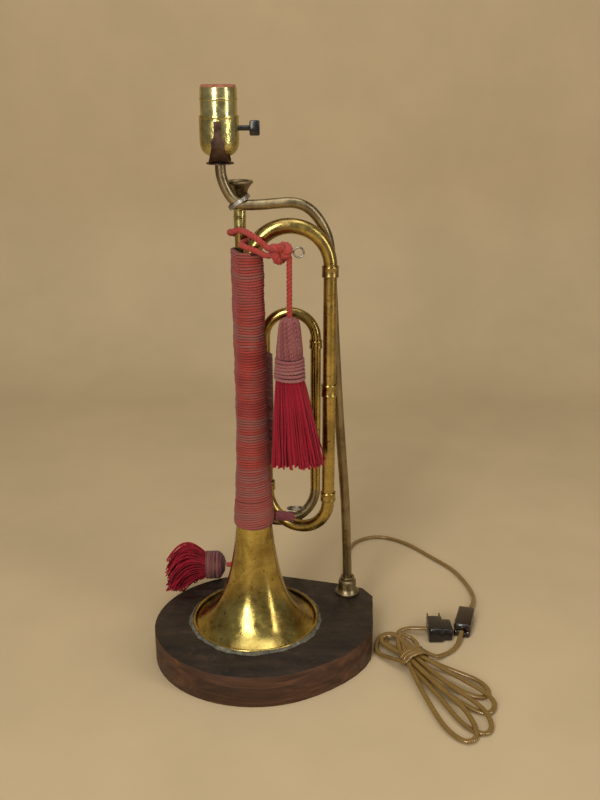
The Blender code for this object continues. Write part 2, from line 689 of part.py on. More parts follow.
def build_small_cords():
    foot = leg_point(INNER_LEFT, SMALL_BOW_LEFT, LOW_BOW_Z, SMALL_BOW_Z, INNER_WRAP_LOW_Z)
    head = leg_point(INNER_LEFT, SMALL_BOW_LEFT, LOW_BOW_Z, SMALL_BOW_Z, INNER_WRAP_TOP_Z)
    length = (head - foot).length
    bore, _ = ring_between(INNER_TUBE_RADIUS, 0, 20)
    turned("inner_cord_wrap", sleeve_profile(bore, INNER_WRAP_RADIUS, 0, length), "red_cord", 20, True,
           foot, (head - foot).to_track_quat("Z", "Y").to_euler())
    x, y, z = WRAP_END_CENTRE
    half = WRAP_END_LENGTH / 2
    tube("wrap_end_cord", [(x - half, y, z), (x, y, z), (x + half, y, z - 0.001)], WRAP_END_RADIUS,
         "red_cord", 4)
    turned("lower_ring", wire_section(LOW_RING_RADIUS, RING_WIRE, 6), "steel", 24, True,
           LOW_RING_CENTRE, (math.radians(-16), 0, 0))
    tube("cord_loop", smooth_path(LOOP_ROUTE, 0.0040), CORD_RADIUS, "red_cord")
    half_wide, half_deep, half_tall = KNOT_HALF
    steps = 8
    side = [(half_wide * math.sin(math.pi * i / steps), half_tall * math.cos(math.pi * i / steps))
            for i in range(1, steps)]
    knot = turned("cord_knot", [(0, half_tall)] + side + [(0, -half_tall)], "red_cord", 18, False,
                  KNOT_CENTRE)
    knot.scale = (1.0, half_deep / half_wide, 1.0)
    x = KNOT_CENTRE[0] + KNOT_HALF[0] + GAP + KNOT_RING_RADIUS + RING_WIRE
    turned("knot_ring", wire_section(KNOT_RING_RADIUS, RING_WIRE, 6), "steel", 16, True,
           (x, KNOT_CENTRE[1], KNOT_CENTRE[2]), (math.radians(90), 0, 0))


# ---------------------------------------------------------------- tassels

def tassel_pivot():
    """Empty on the hanging tassel's hinge line, just under the knot."""
    pivot = bpy.data.objects.new("tassel_pivot", None)
    pivot.location = (TASSEL_X, TASSEL_Y, TASSEL_CORD_TOP)
    bpy.data.collections[COLLECTION].objects.link(pivot)
    return pivot


def banded_profile(top, low, radius, count):
    """Outer side of wound bands, from top to low."""
    pitch = (top - low) / count
    side = []
    for i in range(count):
        side.append((radius - 0.0008, top - i * pitch))
        side.append((radius, top - (i + 0.5) * pitch))
    side.append((radius - 0.0008, low))
    return side


def build_front_tassel():
    pivot = tassel_pivot()
    base = Vector(pivot.location)
    low = HEAD_TOP + GAP - base.z
    cord = tube("tassel_cord", [(0, 0, 0), (0, 0, low / 2), (0, 0, low)], CORD_RADIUS, "red_cord")
    top, neck = HEAD_TOP - base.z, HEAD_LOW - base.z
    head = turned("tassel_head", [
        (0, top), (0.0045, top - 0.0005), (0.0078, top - 0.003), (0.0094, top - 0.010),
        (0.0106, top - 0.020), (HEAD_RADIUS, top - 0.030), (HEAD_RADIUS, neck + GAP), (0, neck + GAP)],
        "red_cord", 20)
    bands_low = BANDS_LOW - base.z
    side = banded_profile(neck, bands_low + GAP, SKIRT_TOP_RADIUS, BAND_COUNT)
    bands = turned("tassel_bands", [(0, neck)] + side + [(0, bands_low + GAP)], "red_cord", 20)
    skirt = bare("tassel_skirt", skirt_mesh("tassel_skirt", bands_low, SKIRT_LOW - base.z))
    give(skirt, "crimson")
    for item in (cord, head, bands, skirt):
        item.parent = pivot


def skirt_mesh(name, top, low):
    """Flattened flaring loft of the hanging strands, drifting to the right on its way down."""
    rows, count = 6, 24
    verts, faces = [], []
    for row in range(rows + 1):
        share = row / rows
        wide = SKIRT_TOP_RADIUS + (SKIRT_LOW_RADIUS - SKIRT_TOP_RADIUS) * share
        deep = SKIRT_TOP_RADIUS * (1 - share) + SKIRT_LOW_RADIUS * SKIRT_FLATNESS * share
        for i in range(count):
            angle = 2 * math.pi * i / count
            verts.append((wide * math.cos(angle) + SKIRT_SHIFT * share, deep * math.sin(angle),
                          top + (low - top) * share))
    for row in range(rows):
        for i in range(count):
            a, b = row * count + i, row * count + (i + 1) % count
            faces.append((a, a + count, b + count, b))
    faces.append(tuple(range(count)))
    faces.append(tuple(rows * count + i for i in reversed(range(count))))
    mesh = bpy.data.meshes.new(name)
    mesh.from_pydata(verts, [], faces)
    return mesh


def build_rear_tassel():
    tube("rear_tassel_cord", smooth_path(REAR_CORD_ROUTE, 0.007), CORD_RADIUS, "red_cord")
    length, full = REAR_HEAD_LENGTH, REAR_HEAD_RADIUS
    side = banded_profile(0.0, -length + 0.008, full, 4)
    side = [(r, h - 0.008) for r, h in side]
    profile = [(0, -GAP), (0.0055, -0.0006), (0.0105, -0.003), (full - 0.0015, -0.0072)] + side
    profile.append((0, -length))
    x, y, z = REAR_HEAD
    turned("rear_tassel_head", profile, "red_cord", 20, False, (x, y, z), (0, math.radians(90), 0))
    start = Vector((x - length - GAP, y, z))
    points = [start] + smooth_path([start + Vector(step) for step in REAR_SKIRT_DRIFT], 0.010)
    end = REAR_SKIRT_RADIUS / REAR_HEAD_RADIUS
    scales = [0.96 + (end - 0.96) * i / (len(points) - 1) for i in range(len(points))]
    tube("rear_tassel_skirt", points, REAR_HEAD_RADIUS, "crimson", 6, scales)


# ---------------------------------------------------------------- lamp pipe

def build_lamp_pipe():
    hollow_tube("lamp_pipe", smooth_path(PIPE_ROUTE, 0.0155), PIPE_RADIUS, PIPE_WALL, "dull_brass", 3)
    x, y = PIPE_FOOT
    bore, _ = ring_between(PIPE_RADIUS + 0.0003, 0, 20)
    low = BASE_THICKNESS + GAP
    top = low + FLANGE_HEIGHT
    profile = [
        (0.0074, top), (0.0074, top - 0.0038), (0.0092, top - 0.0050), (0.0098, top - 0.0135),
        (0.0112, top - 0.0160), (FLANGE_RADIUS, top - 0.0172), (FLANGE_RADIUS, low), (bore, low),
        (bore, top)]
    turned("floor_flange", profile, "dull_brass", 20, True, (x, y, 0))
    corner = math.cos(math.pi / 6)
    turned("pipe_locknut", sleeve_profile((PIPE_RADIUS + GAP) / corner, NUT_ACROSS_FLATS / 2 / corner,
                                          0, NUT_HEIGHT), "steel", 6, True,
           (x, y, NUT_RECESS_DEPTH - GAP - NUT_HEIGHT))
    path = smooth_path(WIRING_FOOT_ROUTE[:-1] + wiring_route(), 0.0125)
    tube("pipe_wiring", path, WIRING_RADIUS, "gold_cord")


def wiring_route():
    """The pipe's own route, from just above its foot to the socket, ending 2 mm past its top."""
    inside = [WIRING_FOOT_ROUTE[-1]] + PIPE_ROUTE[1:-1]
    x, y, z = PIPE_ROUTE[-1]
    return inside + [(x, y, z + 0.002)]


def build_binding():
    """Wire bound cornerwise round the lamp pipe and the mouthpiece shank."""
    x, shank_y = LEAD_TOP
    _, pipe_y, pipe_z = PIPE_ROUTE[15]
    front, back = pipe_y - PIPE_RADIUS, shank_y + 0.0053
    middle, half = (front + back) / 2, (back - front) / 2 + BINDING_WIRE + GAP
    slant = Vector((math.cos(BINDING_SLANT), 0, math.sin(BINDING_SLANT)))
    points = []
    for i in range(28):
        angle = 2 * math.pi * i / 28
        c, s = math.cos(angle), math.sin(angle)
        reach = (abs(c) ** 3 + abs(s) ** 3) ** (-1 / 3)
        centre = Vector((x, middle + half * reach * c, pipe_z + BINDING_RISE))
        points.append(centre + slant * BINDING_REACH * reach * s)
    tube("pipe_binding", points, BINDING_WIRE, "steel", 2, closed=True)


# ---------------------------------------------------------------- socket

def build_saddle():
    """Bent strip: flat under the cap, an arm up the front and one up the back."""
    x, y = SOCKET_AXIS
    reach = CAP_RADIUS + GAP + 0.0004
    half = [(0.0, SADDLE_Z, 0.0094), (0.0080, SADDLE_Z, 0.0094), (0.0125, SADDLE_Z + 0.0018, 0.0085),
            (reach - 0.0012, SADDLE_Z + 0.0085, 0.0066), (reach, SADDLE_Z + 0.0130, 0.0056),
            (reach, SADDLE_Z + 0.0175, 0.0062), (reach, SADDLE_Z + 0.0215, 0.0034),
            (reach, SADDLE_TOP_Z, 0.0032)]
    strip = [(-d, z, w) for d, z, w in reversed(half[1:])] + half
    verts, faces = [], []
    for depth, z, wide in strip:
        verts += [(x - wide, y + depth, z), (x + wide, y + depth, z)]
    for i in range(len(strip) - 1):
        faces.append((2 * i, 2 * i + 1, 2 * i + 3, 2 * i + 2))
    mesh = bpy.data.meshes.new("harp_saddle")
    mesh.from_pydata(verts, [], faces)
    saddle = bare("harp_saddle", mesh)
    sheet = saddle.modifiers.new("sheet", "SOLIDIFY")
    sheet.thickness = SADDLE_SHEET
    sheet.offset = -1.0
    give(saddle, "bronze")
    cut(saddle, cylinder_mesh("saddle_hole", PIPE_RADIUS + 0.0006, 0.02), (x, y, SADDLE_Z))
    bore, _ = ring_between(PIPE_RADIUS + 0.0002, 0, 20)
    top = SADDLE_Z - SADDLE_SHEET - GAP
    turned("saddle_washer", sleeve_profile(bore, 0.0122, top - 0.0011, top), "bronze", 20, True, (x, y, 0))


def build_socket():
    x, y = SOCKET_AXIS
    at = (x, y, 0)
    bore, _ = ring_between(PIPE_RADIUS, 0, 28)
    hub = 0.0070
    low, top, wall = CAP_LOW_Z, CAP_TOP_Z, CAP_WALL
    cap = turned("socket_cap", [
        (CAP_RADIUS, top), (CAP_RADIUS, low + 0.0115), (CAP_RADIUS - 0.0009, low + 0.0070),
        (CAP_RADIUS - 0.0032, low + 0.0034), (0.0105, low + 0.0010), (hub, low), (bore, low),
        (bore, low + 0.0050), (hub, low + 0.0050), (hub + 0.0008, low + wall + 0.0012),
        (0.0102, low + wall + 0.0014), (CAP_RADIUS - wall - 0.0030, low + wall + 0.0036),
        (CAP_RADIUS - wall - 0.0010, low + 0.0074), (CAP_RADIUS - wall, low + 0.0118),
        (CAP_RADIUS - wall, top)], "brass", 28, True, at)
    cut(cap, cylinder_mesh("key_hole", KEY_STEM_RADIUS + 0.0004, 0.02, 16),
        (x + CAP_RADIUS, y, KEY_Z), (0, math.radians(90), 0))
    shell, bead = SHELL_RADIUS, 0.0005
    inner = shell - 0.0007
    bead_z = SHELL_TOP_Z - 0.0098
    turned("socket_shell", [
        (shell, SHELL_TOP_Z), (shell, bead_z + 0.0012), (shell + bead, bead_z), (shell, bead_z - 0.0012),
        (shell, SHELL_LOW_Z), (inner, SHELL_LOW_Z), (inner, SHELL_TOP_Z)], "brass", 28, True, at)
    liner = inner - GAP - 0.0001
    turned("socket_liner", sleeve_profile(liner - 0.0008, liner, SHELL_LOW_Z + 0.0050, LINER_TOP_Z),
           "card", 28, True, at)
    body_top = SHELL_LOW_Z + 0.0046
    body = liner - 0.0012
    turned("socket_body", [
        (0, body_top), (body - 0.0008, body_top), (body, body_top - 0.0010), (body, low + 0.0130),
        (body - 0.0020, low + 0.0095), (0.0080, low + 0.0085), (0, low + 0.0085)],
        "ceramic", 20, False, at)
    screw_low = body_top + GAP
    turns, height = 4, LINER_TOP_Z - 0.0035 - screw_low
    steps = turns * 2
    outer = [(SCREW_MINOR_RADIUS + 0.0005 + THREAD_DEPTH * (i % 2), screw_low + height * (1 - i / steps))
             for i in range(steps + 1)]
    wall_in = [(radius - 0.0005, z) for radius, z in reversed(outer)]
    turned("screw_shell", outer + wall_in, "brass", 20, True, at)
    turned("centre_contact", [
        (0, screw_low + 0.0030), (0.0030, screw_low + 0.0028), (0.0040, screw_low + 0.0012),
        (0.0040, screw_low), (0, screw_low)], "brass", 16, False, at)


def build_turn_key():
    """Moulded key: stem through the cap and a flat thumb piece, turning about its own length."""
    x, y = SOCKET_AXIS
    start = 0.0145
    collar = CAP_RADIUS + 0.0008
    length, thick, tall = KEY_HEAD
    stem_end = CAP_RADIUS + 0.0090
    profile = [
        (0, stem_end + 0.0006), (KEY_STEM_RADIUS, stem_end + 0.0006), (KEY_STEM_RADIUS, collar),
        (KEY_STEM_RADIUS, start), (0, start)]
    key = turned("turn_key", profile, "black", 16, False, (x, y, KEY_Z), (0, math.radians(90), 0))
    head = bare("turn_key_head", block_mesh("turn_key_head", (tall, thick, length)),
                COLLECTION + "_cutters")
    head.location = (x + stem_end + length / 2, y, KEY_Z)
    head.rotation_euler = (0, math.radians(90), 0)
    head.hide_render = True
    head.display_type = "WIRE"
    soften(head, 0.0014, 2)
    join = key.modifiers.new("head", "BOOLEAN")
    join.operation = "UNION"
    join.solver = "EXACT"
    join.object = head


# ---------------------------------------------------------------- cord, switch and plug

def build_cords():
    tube("power_cord_base", smooth_path(CORD_BASE_ROUTE, 0.0125), FLOOR_CORD_RADIUS, "gold_cord")
    tube("power_cord_middle", smooth_path(CORD_MIDDLE_ROUTE, 0.0100), FLOOR_CORD_RADIUS, "gold_cord")
    tube("power_cord_plug", smooth_path(CORD_PLUG_ROUTE, 0.0080), FLOOR_CORD_RADIUS, "gold_cord")


def build_hank():
    """Outer shape of the loosely folded cord: a flat outline with round ends, wider at the loops."""
    circles = HANK_SPINE
    outline = []
    count = 40
    for i in range(count):
        angle = 2 * math.pi * i / count
        normal = Vector((math.cos(angle), math.sin(angle)))
        x, y, radius = max(circles, key=lambda c: c[0] * normal.x + c[1] * normal.y + c[2])
        outline.append((x + radius * normal.x, y + radius * normal.y))
    flat_plate("cord_hank", outline, HANK_HEIGHT, "gold_cord", 0.0002)


def switch_frame():
    return Matrix.Translation((*SWITCH_CENTRE, 0)) @ Matrix.Rotation(SWITCH_TURN, 4, "Z")


def build_switch():
    """Two moulded halves on their sides, held on the cord, with a thumb wheel through one side."""
    length, width, height = SWITCH_SIZE
    place = switch_frame()
    half = height / 2
    halves = {"switch_base_half": half / 2, "switch_top_half": half + half / 2}
    wheel_at = Vector((0, width / 2 - WHEEL_RADIUS + 0.0014, half))
    for name, level in halves.items():
        item = block(name, (length, width, half - GAP), place @ Vector((0, 0, level)), "brown_plastic",
                     0.0022, SWITCH_TURN)
        cut(item, cylinder_mesh(name + "_slot", WHEEL_RADIUS + 0.0008, WHEEL_THICKNESS + 0.0012, 24),
            place @ wheel_at)
        for end in (-1, 1):
            cut(item, cylinder_mesh(name + "_entry", FLOOR_CORD_RADIUS + 0.0004, 0.006, 16),
                place @ Vector((end * length / 2, 0, half)), (math.radians(90), 0, SWITCH_TURN + math.pi / 2))
    turned("switch_wheel", [
        (0, WHEEL_THICKNESS / 2), (WHEEL_RADIUS - 0.0005, WHEEL_THICKNESS / 2),
        (WHEEL_RADIUS, WHEEL_THICKNESS / 2 - 0.0005), (WHEEL_RADIUS, -WHEEL_THICKNESS / 2 + 0.0005),
        (WHEEL_RADIUS - 0.0005, -WHEEL_THICKNESS / 2), (0, -WHEEL_THICKNESS / 2)],
        "brown_plastic", 20, False, place @ wheel_at)


def build_plug():
    """Side-entry plug: a wide body, a lower nose, and two blades out of the far side."""
    x, y = PLUG_CENTRE
    wide, deep, tall = PLUG_BODY
    nose_wide, nose_deep, nose_tall = PLUG_NOSE
    left = x - (wide + nose_wide) / 2
    body = block("plug_body", (wide, deep, tall), (left + wide / 2, y, tall / 2), "black", 0.0022)
    nose = bare("plug_nose", block_mesh("plug_nose", (nose_wide + 0.003, nose_deep, nose_tall)),
                COLLECTION + "_cutters")
    nose.location = (left + wide + nose_wide / 2 - 0.0015, y, nose_tall / 2 + 0.0005)
    nose.hide_render = True
    nose.display_type = "WIRE"
    soften(nose, 0.0020, 2)
    join = body.modifiers.new("nose", "BOOLEAN")
    join.operation = "UNION"
    join.solver = "EXACT"
    join.object = nose
    middle = left + wide / 2 + 0.001
    seat = 0.003
    blade_wide, blade_long, blade_tall = BLADE
    for side in (-1, 1):
        spot = (middle + side * BLADE_PITCH / 2, y + deep / 2 + blade_long / 2 - seat, tall / 2)
        cut(body, block_mesh("blade_seat", (blade_wide + 2 * GAP, blade_long + 2 * GAP,
                                            blade_tall + 2 * GAP)), spot)
        block("plug_blade_" + ("left" if side < 0 else "right"), BLADE, spot, "steel", 0.0003)


def main():
    clear_scene()
    make_collection(COLLECTION)
    make_collection(COLLECTION + "_cutters")
    build_base()
    build_bell()
    build_main_tubing()
    build_inner_tubing()
    build_mouthpiece()
    build_main_wrap()
    build_small_cords()
    build_front_tassel()
    build_rear_tassel()
    build_lamp_pipe()
    build_binding()
    build_saddle()
    build_socket()
    build_turn_key()
    build_cords()
    build_hank()
    build_switch()
    build_plug()


main()
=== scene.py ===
"""Looks of a table lamp made from a corded bugle, built round its fixed frame.

Laid out as an add-on and run as a script: each group of pieces is an operator in the sidebar.
"""

import math
import random

import bmesh
import bpy
from mathutils import Matrix, Vector


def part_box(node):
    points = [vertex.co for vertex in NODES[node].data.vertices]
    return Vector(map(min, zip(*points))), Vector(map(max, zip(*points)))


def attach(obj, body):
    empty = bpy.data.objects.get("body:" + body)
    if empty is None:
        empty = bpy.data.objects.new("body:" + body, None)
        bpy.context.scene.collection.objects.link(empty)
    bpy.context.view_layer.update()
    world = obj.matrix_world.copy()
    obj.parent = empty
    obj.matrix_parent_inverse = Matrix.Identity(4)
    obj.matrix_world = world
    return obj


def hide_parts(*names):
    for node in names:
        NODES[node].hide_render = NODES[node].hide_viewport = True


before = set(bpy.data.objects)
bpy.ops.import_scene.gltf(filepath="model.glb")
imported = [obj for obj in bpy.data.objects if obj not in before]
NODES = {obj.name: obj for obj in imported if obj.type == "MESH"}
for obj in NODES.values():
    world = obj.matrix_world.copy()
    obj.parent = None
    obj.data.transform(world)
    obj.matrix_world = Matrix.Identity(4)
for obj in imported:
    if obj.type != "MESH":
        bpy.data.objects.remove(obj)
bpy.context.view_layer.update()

bl_info = {
    "name": "Bugle Lamp",
    "version": (1, 0, 0),
    "blender": (4, 5, 0),
    "location": "View3D > Sidebar > Bugle Lamp",
    "description": "Builds the finished pieces of a corded bugle lamp round its frame",
    "category": "Object",
}

LAMP = "lamp"
TASSEL = "tassel"

# Places and sizes that the frame's own pieces follow, in metres
BASE_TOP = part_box("wood_base")[1][2]
BELL_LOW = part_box("bell")[0][2]
BELL_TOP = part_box("bell_tube")[1][2]
RIM_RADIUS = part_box("bell")[1][0]
FLARE_START = 0.022
FLARE_POWER = 0.70
BELL_WALL = 0.0008
BOW_Z = 0.398
BOW_SPAN = 0.073
BOW_LEAD = 0.0012
BELL_SIDE_RADIUS = 0.0080
OUTER_RADIUS = 0.0062
OUTER_JOINT_Z = 0.281
LOW_BOW_Z = 0.166
INNER_RADIUS = 0.0050
SLIM_RADIUS = 0.0058
SMALL_BOW_Z = 0.3255
INNER_LEFT = ((0.0135, 0.0262), (0.0120, 0.0225))
INNER_RIGHT = ((0.0610, 0.0300), (0.0605, 0.0200))
LEAD = ((-0.0085, 0.0268), (-0.0090, 0.0165))
LEAD_TOP_Z = 0.430
WRAP_LOW_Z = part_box("lower_cord_wrap")[0][2]
WRAP_TOP_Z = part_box("main_cord_wrap")[1][2]
SOCKET_X, SOCKET_Y = -0.0245, 0.0034
PIPE_FOOT = (0.0965, 0.0500)
PIPE_RADIUS = 0.00475
PIPE_BORE = 0.0052
FLANGE_HEIGHT = 0.0195
GAP = 0.0003
RIM_WIRE = 0.0015
FERRULE_LIP = 0.0003
RECEIVER_LENGTH = 0.0190
RECEIVER_BAND = 0.0069
RECEIVER_RADIUS = 0.0056
CUP_DEPTH = 0.0130
SHANK_RADIUS = 0.0046
SHANK_IN_RECEIVER = 0.012
CAP_RADIUS = 0.0172
SHELL_RADIUS = 0.0160
SHELL_BEAD = 0.0005
SHELL_BEAD_DROP = 0.0098
THREAD_MINOR_RADIUS = 0.0129
THREAD_DEPTH = 0.0005
THREAD_PITCH = 0.0036
WRAP_THICK_LOW = 0.0030               # how far the wrap stands off the tubes
WRAP_GROWTH = 0.0018                  # how much more it does at the top
WRAP_ABOVE_FRAME = 0.0080
ROPE_RADIUS = 0.00275
KNOT_ROPE_RADIUS = 0.0037
NECK_RADIUS = 0.0125
SKIRT_RADIUS = 0.0250
SKIRT_SHIFT = 0.0080
REAR_NECK_RADIUS = 0.0132
REAR_SKIRT_RADIUS = 0.0225
REAR_REACH = 0.0390
HANK_MIDDLE = Vector((0.160, -0.036, 0.0))
HANK_ALONG = Vector((0.438, -0.899, 0.0))
HANK_ACROSS = Vector((0.899, 0.438, 0.0))

# Values of the looks alone
STRAND_TURN = 0.618034                # part of a turn from one strand to the next
FIBRE_SCALE = 900
CORD_BANDS = 2                        # slanting bands across the cord's outline
CORD_BANDS_PER_METRE = 260.0
CAMERA_PLACE = (0.0455, -0.85, 0.572)

PIPE_ROUTE = [
    (0.0965, 0.0500, 0.0085), (0.0965, 0.0500, 0.0330), (0.0963, 0.0497, 0.0550),
    (0.0946, 0.0465, 0.0980), (0.0920, 0.0420, 0.1470), (0.0873, 0.0350, 0.2050),
    (0.0828, 0.0280, 0.2610), (0.0778, 0.0195, 0.3350), (0.0754, 0.0160, 0.3740),
    (0.0722, 0.0132, 0.4160), (0.0653, 0.0105, 0.4355), (0.0545, 0.0085, 0.4490),
    (0.0410, 0.0070, 0.4550), (0.0232, 0.0055, 0.4547), (0.0117, 0.0045, 0.4538),
    (-0.0040, 0.0034, 0.4538), (-0.0125, 0.0034, 0.4572), (-0.0190, 0.0034, 0.4660),
    (-0.0235, 0.0034, 0.4780), (-0.0245, 0.0034, 0.4890), (-0.0245, 0.0034, 0.5003),
]
LOOP_ROUTE = [
    (0.0225, -0.0158, 0.4165), (0.0163, -0.0150, 0.4190), (0.0085, -0.0128, 0.4255),
    (0.0000, -0.0065, 0.4300),
    (-0.0080, 0.0045, 0.4310), (-0.0160, 0.0085, 0.4290), (-0.0184, 0.0160, 0.4270),
    (-0.0155, 0.0228, 0.4250), (-0.0085, 0.0251, 0.4235), (-0.0010, 0.0215, 0.4225),
    (0.0012, 0.0145, 0.4215), (-0.0028, 0.0078, 0.4205), (-0.0064, 0.0015, 0.4200),
    (-0.0052, -0.0070, 0.4190), (0.0022, -0.0120, 0.4170), (0.0095, -0.0138, 0.4145),
    (0.0160, -0.0160, 0.4120), (0.0225, -0.0165, 0.4128),
]
REAR_CORD_ROUTE = [
    (-0.0035, 0.0318, 0.1515), (-0.0085, 0.0332, 0.1485), (-0.0120, 0.0370, 0.1405),
    (-0.0145, 0.0440, 0.1250), (-0.0170, 0.0540, 0.1050), (-0.0200, 0.0650, 0.0850),
    (-0.0225, 0.0750, 0.0680), (-0.0255, 0.0815, 0.0550), (-0.0305, 0.0830, 0.0484),
    (-0.0357, 0.0830, 0.0478),
]
CORD_BASE_ROUTE = [
    (0.0965, 0.0643, 0.0030), (0.0967, 0.0800, 0.0024), (0.0973, 0.1050, 0.0024),
    (0.0985, 0.1350, 0.0024), (0.1005, 0.1650, 0.0024), (0.1045, 0.1950, 0.0024),
    (0.1140, 0.2180, 0.0024), (0.1290, 0.2310, 0.0024), (0.1450, 0.2350, 0.0024),
    (0.1620, 0.2300, 0.0024), (0.1830, 0.2130, 0.0024), (0.2070, 0.1810, 0.0024),
    (0.2270, 0.1520, 0.0024), (0.2380, 0.1200, 0.0024), (0.2415, 0.0920, 0.0030),
    (0.2375, 0.0700, 0.0060), (0.2300, 0.0540, 0.0080), (0.2272, 0.0496, 0.0080),
]
CORD_MIDDLE_ROUTE = [
    (0.2158, 0.0124, 0.0080), (0.2130, 0.0040, 0.0065), (0.2085, -0.0060, 0.0035),
    (0.2010, -0.0155, 0.0026), (0.1920, -0.0228, 0.0032), (0.1828, -0.0290, 0.0060),
]
CORD_PLUG_ROUTE = [
    (0.1499, 0.0149, 0.0055), (0.1550, 0.0190, 0.0060), (0.1625, 0.0203, 0.0068),
    (0.1710, 0.0182, 0.0082), (0.1797, 0.0172, 0.0085),
]
# The hank's folds as (along, across, height) from its tied middle
HANK_FOLDS = [
    (-0.0130, -0.0190, 0.0060), (-0.0295, -0.0235, 0.0030), (-0.0440, -0.0175, 0.0026),
    (-0.0560, -0.0040, 0.0026), (-0.0530, 0.0085, 0.0030), (-0.0330, 0.0115, 0.0050),
    (0.0000, 0.0078, 0.0085), (0.0270, 0.0220, 0.0070), (0.0500, 0.0385, 0.0040),
    (0.0660, 0.0415, 0.0028), (0.0760, 0.0340, 0.0028), (0.0700, 0.0220, 0.0032),
    (0.0400, 0.0080, 0.0060), (0.0000, 0.0026, 0.0082), (-0.0230, -0.0060, 0.0070),
    (-0.0400, -0.0095, 0.0062), (-0.0490, -0.0020, 0.0062), (-0.0440, 0.0070, 0.0064),
    (-0.0250, 0.0070, 0.0080), (0.0000, 0.0050, 0.0118), (0.0380, 0.0190, 0.0090),
    (0.0760, 0.0330, 0.0060), (0.0930, 0.0300, 0.0050), (0.0960, 0.0170, 0.0030),
    (0.0700, 0.0040, 0.0040), (0.0350, -0.0010, 0.0070), (0.0000, -0.0026, 0.0085),
    (-0.0220, -0.0125, 0.0095), (-0.0380, -0.0150, 0.0090), (-0.0450, -0.0080, 0.0100),
    (-0.0380, 0.0010, 0.0110), (-0.0200, 0.0020, 0.0118), (0.0000, 0.0000, 0.0120),
    (0.0450, 0.0065, 0.0080), (0.0900, 0.0165, 0.0060), (0.1140, 0.0110, 0.0040),
    (0.1190, -0.0010, 0.0030), (0.1000, -0.0100, 0.0030), (0.0550, -0.0090, 0.0050),
    (0.0000, -0.0078, 0.0085), (-0.0180, -0.0060, 0.0105), (-0.0330, 0.0020, 0.0108),
    (-0.0400, 0.0110, 0.0090), (-0.0330, 0.0190, 0.0060), (-0.0180, 0.0150, 0.0070),
    (0.0000, -0.0052, 0.0120), (0.0450, -0.0040, 0.0090), (0.0900, -0.0005, 0.0070),
    (0.1190, -0.0090, 0.0050), (0.1200, -0.0220, 0.0030), (0.0950, -0.0270, 0.0028),
    (0.0500, -0.0200, 0.0050), (0.0150, -0.0120, 0.0080), (0.0000, -0.0090, 0.0120),
    (-0.0220, 0.0010, 0.0110), (-0.0400, 0.0100, 0.0080),
]
TIE_TURNS = 2.5
TIE_HALF = (0.0140, 0.0068)
TIE_MIDDLE_Z = 0.0098
CORD_LOBE_RADIUS = 0.0014
CORD_LOBE_APART = 0.0011


# ---------------------------------------------------------------- settings

def colour_setting(name, description, start):
    return bpy.props.FloatVectorProperty(name=name, description=description, subtype="COLOR",
                                         default=start)


class YarnSettings(bpy.types.PropertyGroup):
    """Sizes and colours of the cord wraps."""
    pitch: bpy.props.FloatProperty(
        name="Turn Pitch", description="Height from one turn of cord to the next",
        default=0.0026, min=0.001, unit="LENGTH")
    twist: bpy.props.FloatProperty(
        name="Twist Length", description="Length of rope for one turn of its strands",
        default=0.011, min=0.002, unit="LENGTH")
    red: colour_setting(
        "Red", "Main colour of the wrapped cord", (0.36, 0.042, 0.028))
    dust: colour_setting(
        "Dust", "Faded and dusty colour of the wrapped cord", (0.27, 0.088, 0.070))
    plum: colour_setting(
        "Plum", "Dark colour of the older cord", (0.16, 0.034, 0.038))
    crimson: colour_setting(
        "Crimson", "Colour of the tassels' strands", (0.30, 0.004, 0.018))


class TasselSettings(bpy.types.PropertyGroup):
    """The two tassels."""
    strands: bpy.props.IntProperty(
        name="Strands", description="Number of strands in each skirt", default=250, min=20)
    strand_radius: bpy.props.FloatProperty(
        name="Strand Radius", description="Half the thickness of a skirt strand",
        default=0.00108, min=0.0003, unit="LENGTH")
    seed: bpy.props.IntProperty(name="Seed", description="Seed of the strands' sway", default=7)


class BrassSettings(bpy.types.PropertyGroup):
    """Finish of the brass."""
    bright: colour_setting(
        "Bright", "Colour of clean brass", (0.62, 0.49, 0.14))
    aged: colour_setting(
        "Aged", "Colour of tarnished brass", (0.27, 0.19, 0.06))
    dull: colour_setting(
        "Dull", "Colour of the dull lamp pipe", (0.36, 0.285, 0.160))


class CordSettings(bpy.types.PropertyGroup):
    """The lamp cord."""
    gold: colour_setting(
        "Gold", "Colour of the cord's bright strands", (0.40, 0.245, 0.055))
    brown: colour_setting(
        "Brown", "Colour between the cord's strands", (0.085, 0.042, 0.010))


class StageSettings(bpy.types.PropertyGroup):
    """Floor, lights and camera."""
    backdrop: colour_setting(
        "Backdrop", "Colour of the floor and wall", (0.50, 0.385, 0.225))
    lens: bpy.props.FloatProperty(
        name="Lens", description="Focal length", default=42.75, unit="CAMERA")
    pitch: bpy.props.FloatProperty(
        name="Camera Pitch", description="How far the camera looks down", subtype="ANGLE",
        default=math.radians(19.5))


# ---------------------------------------------------------------- shader helpers

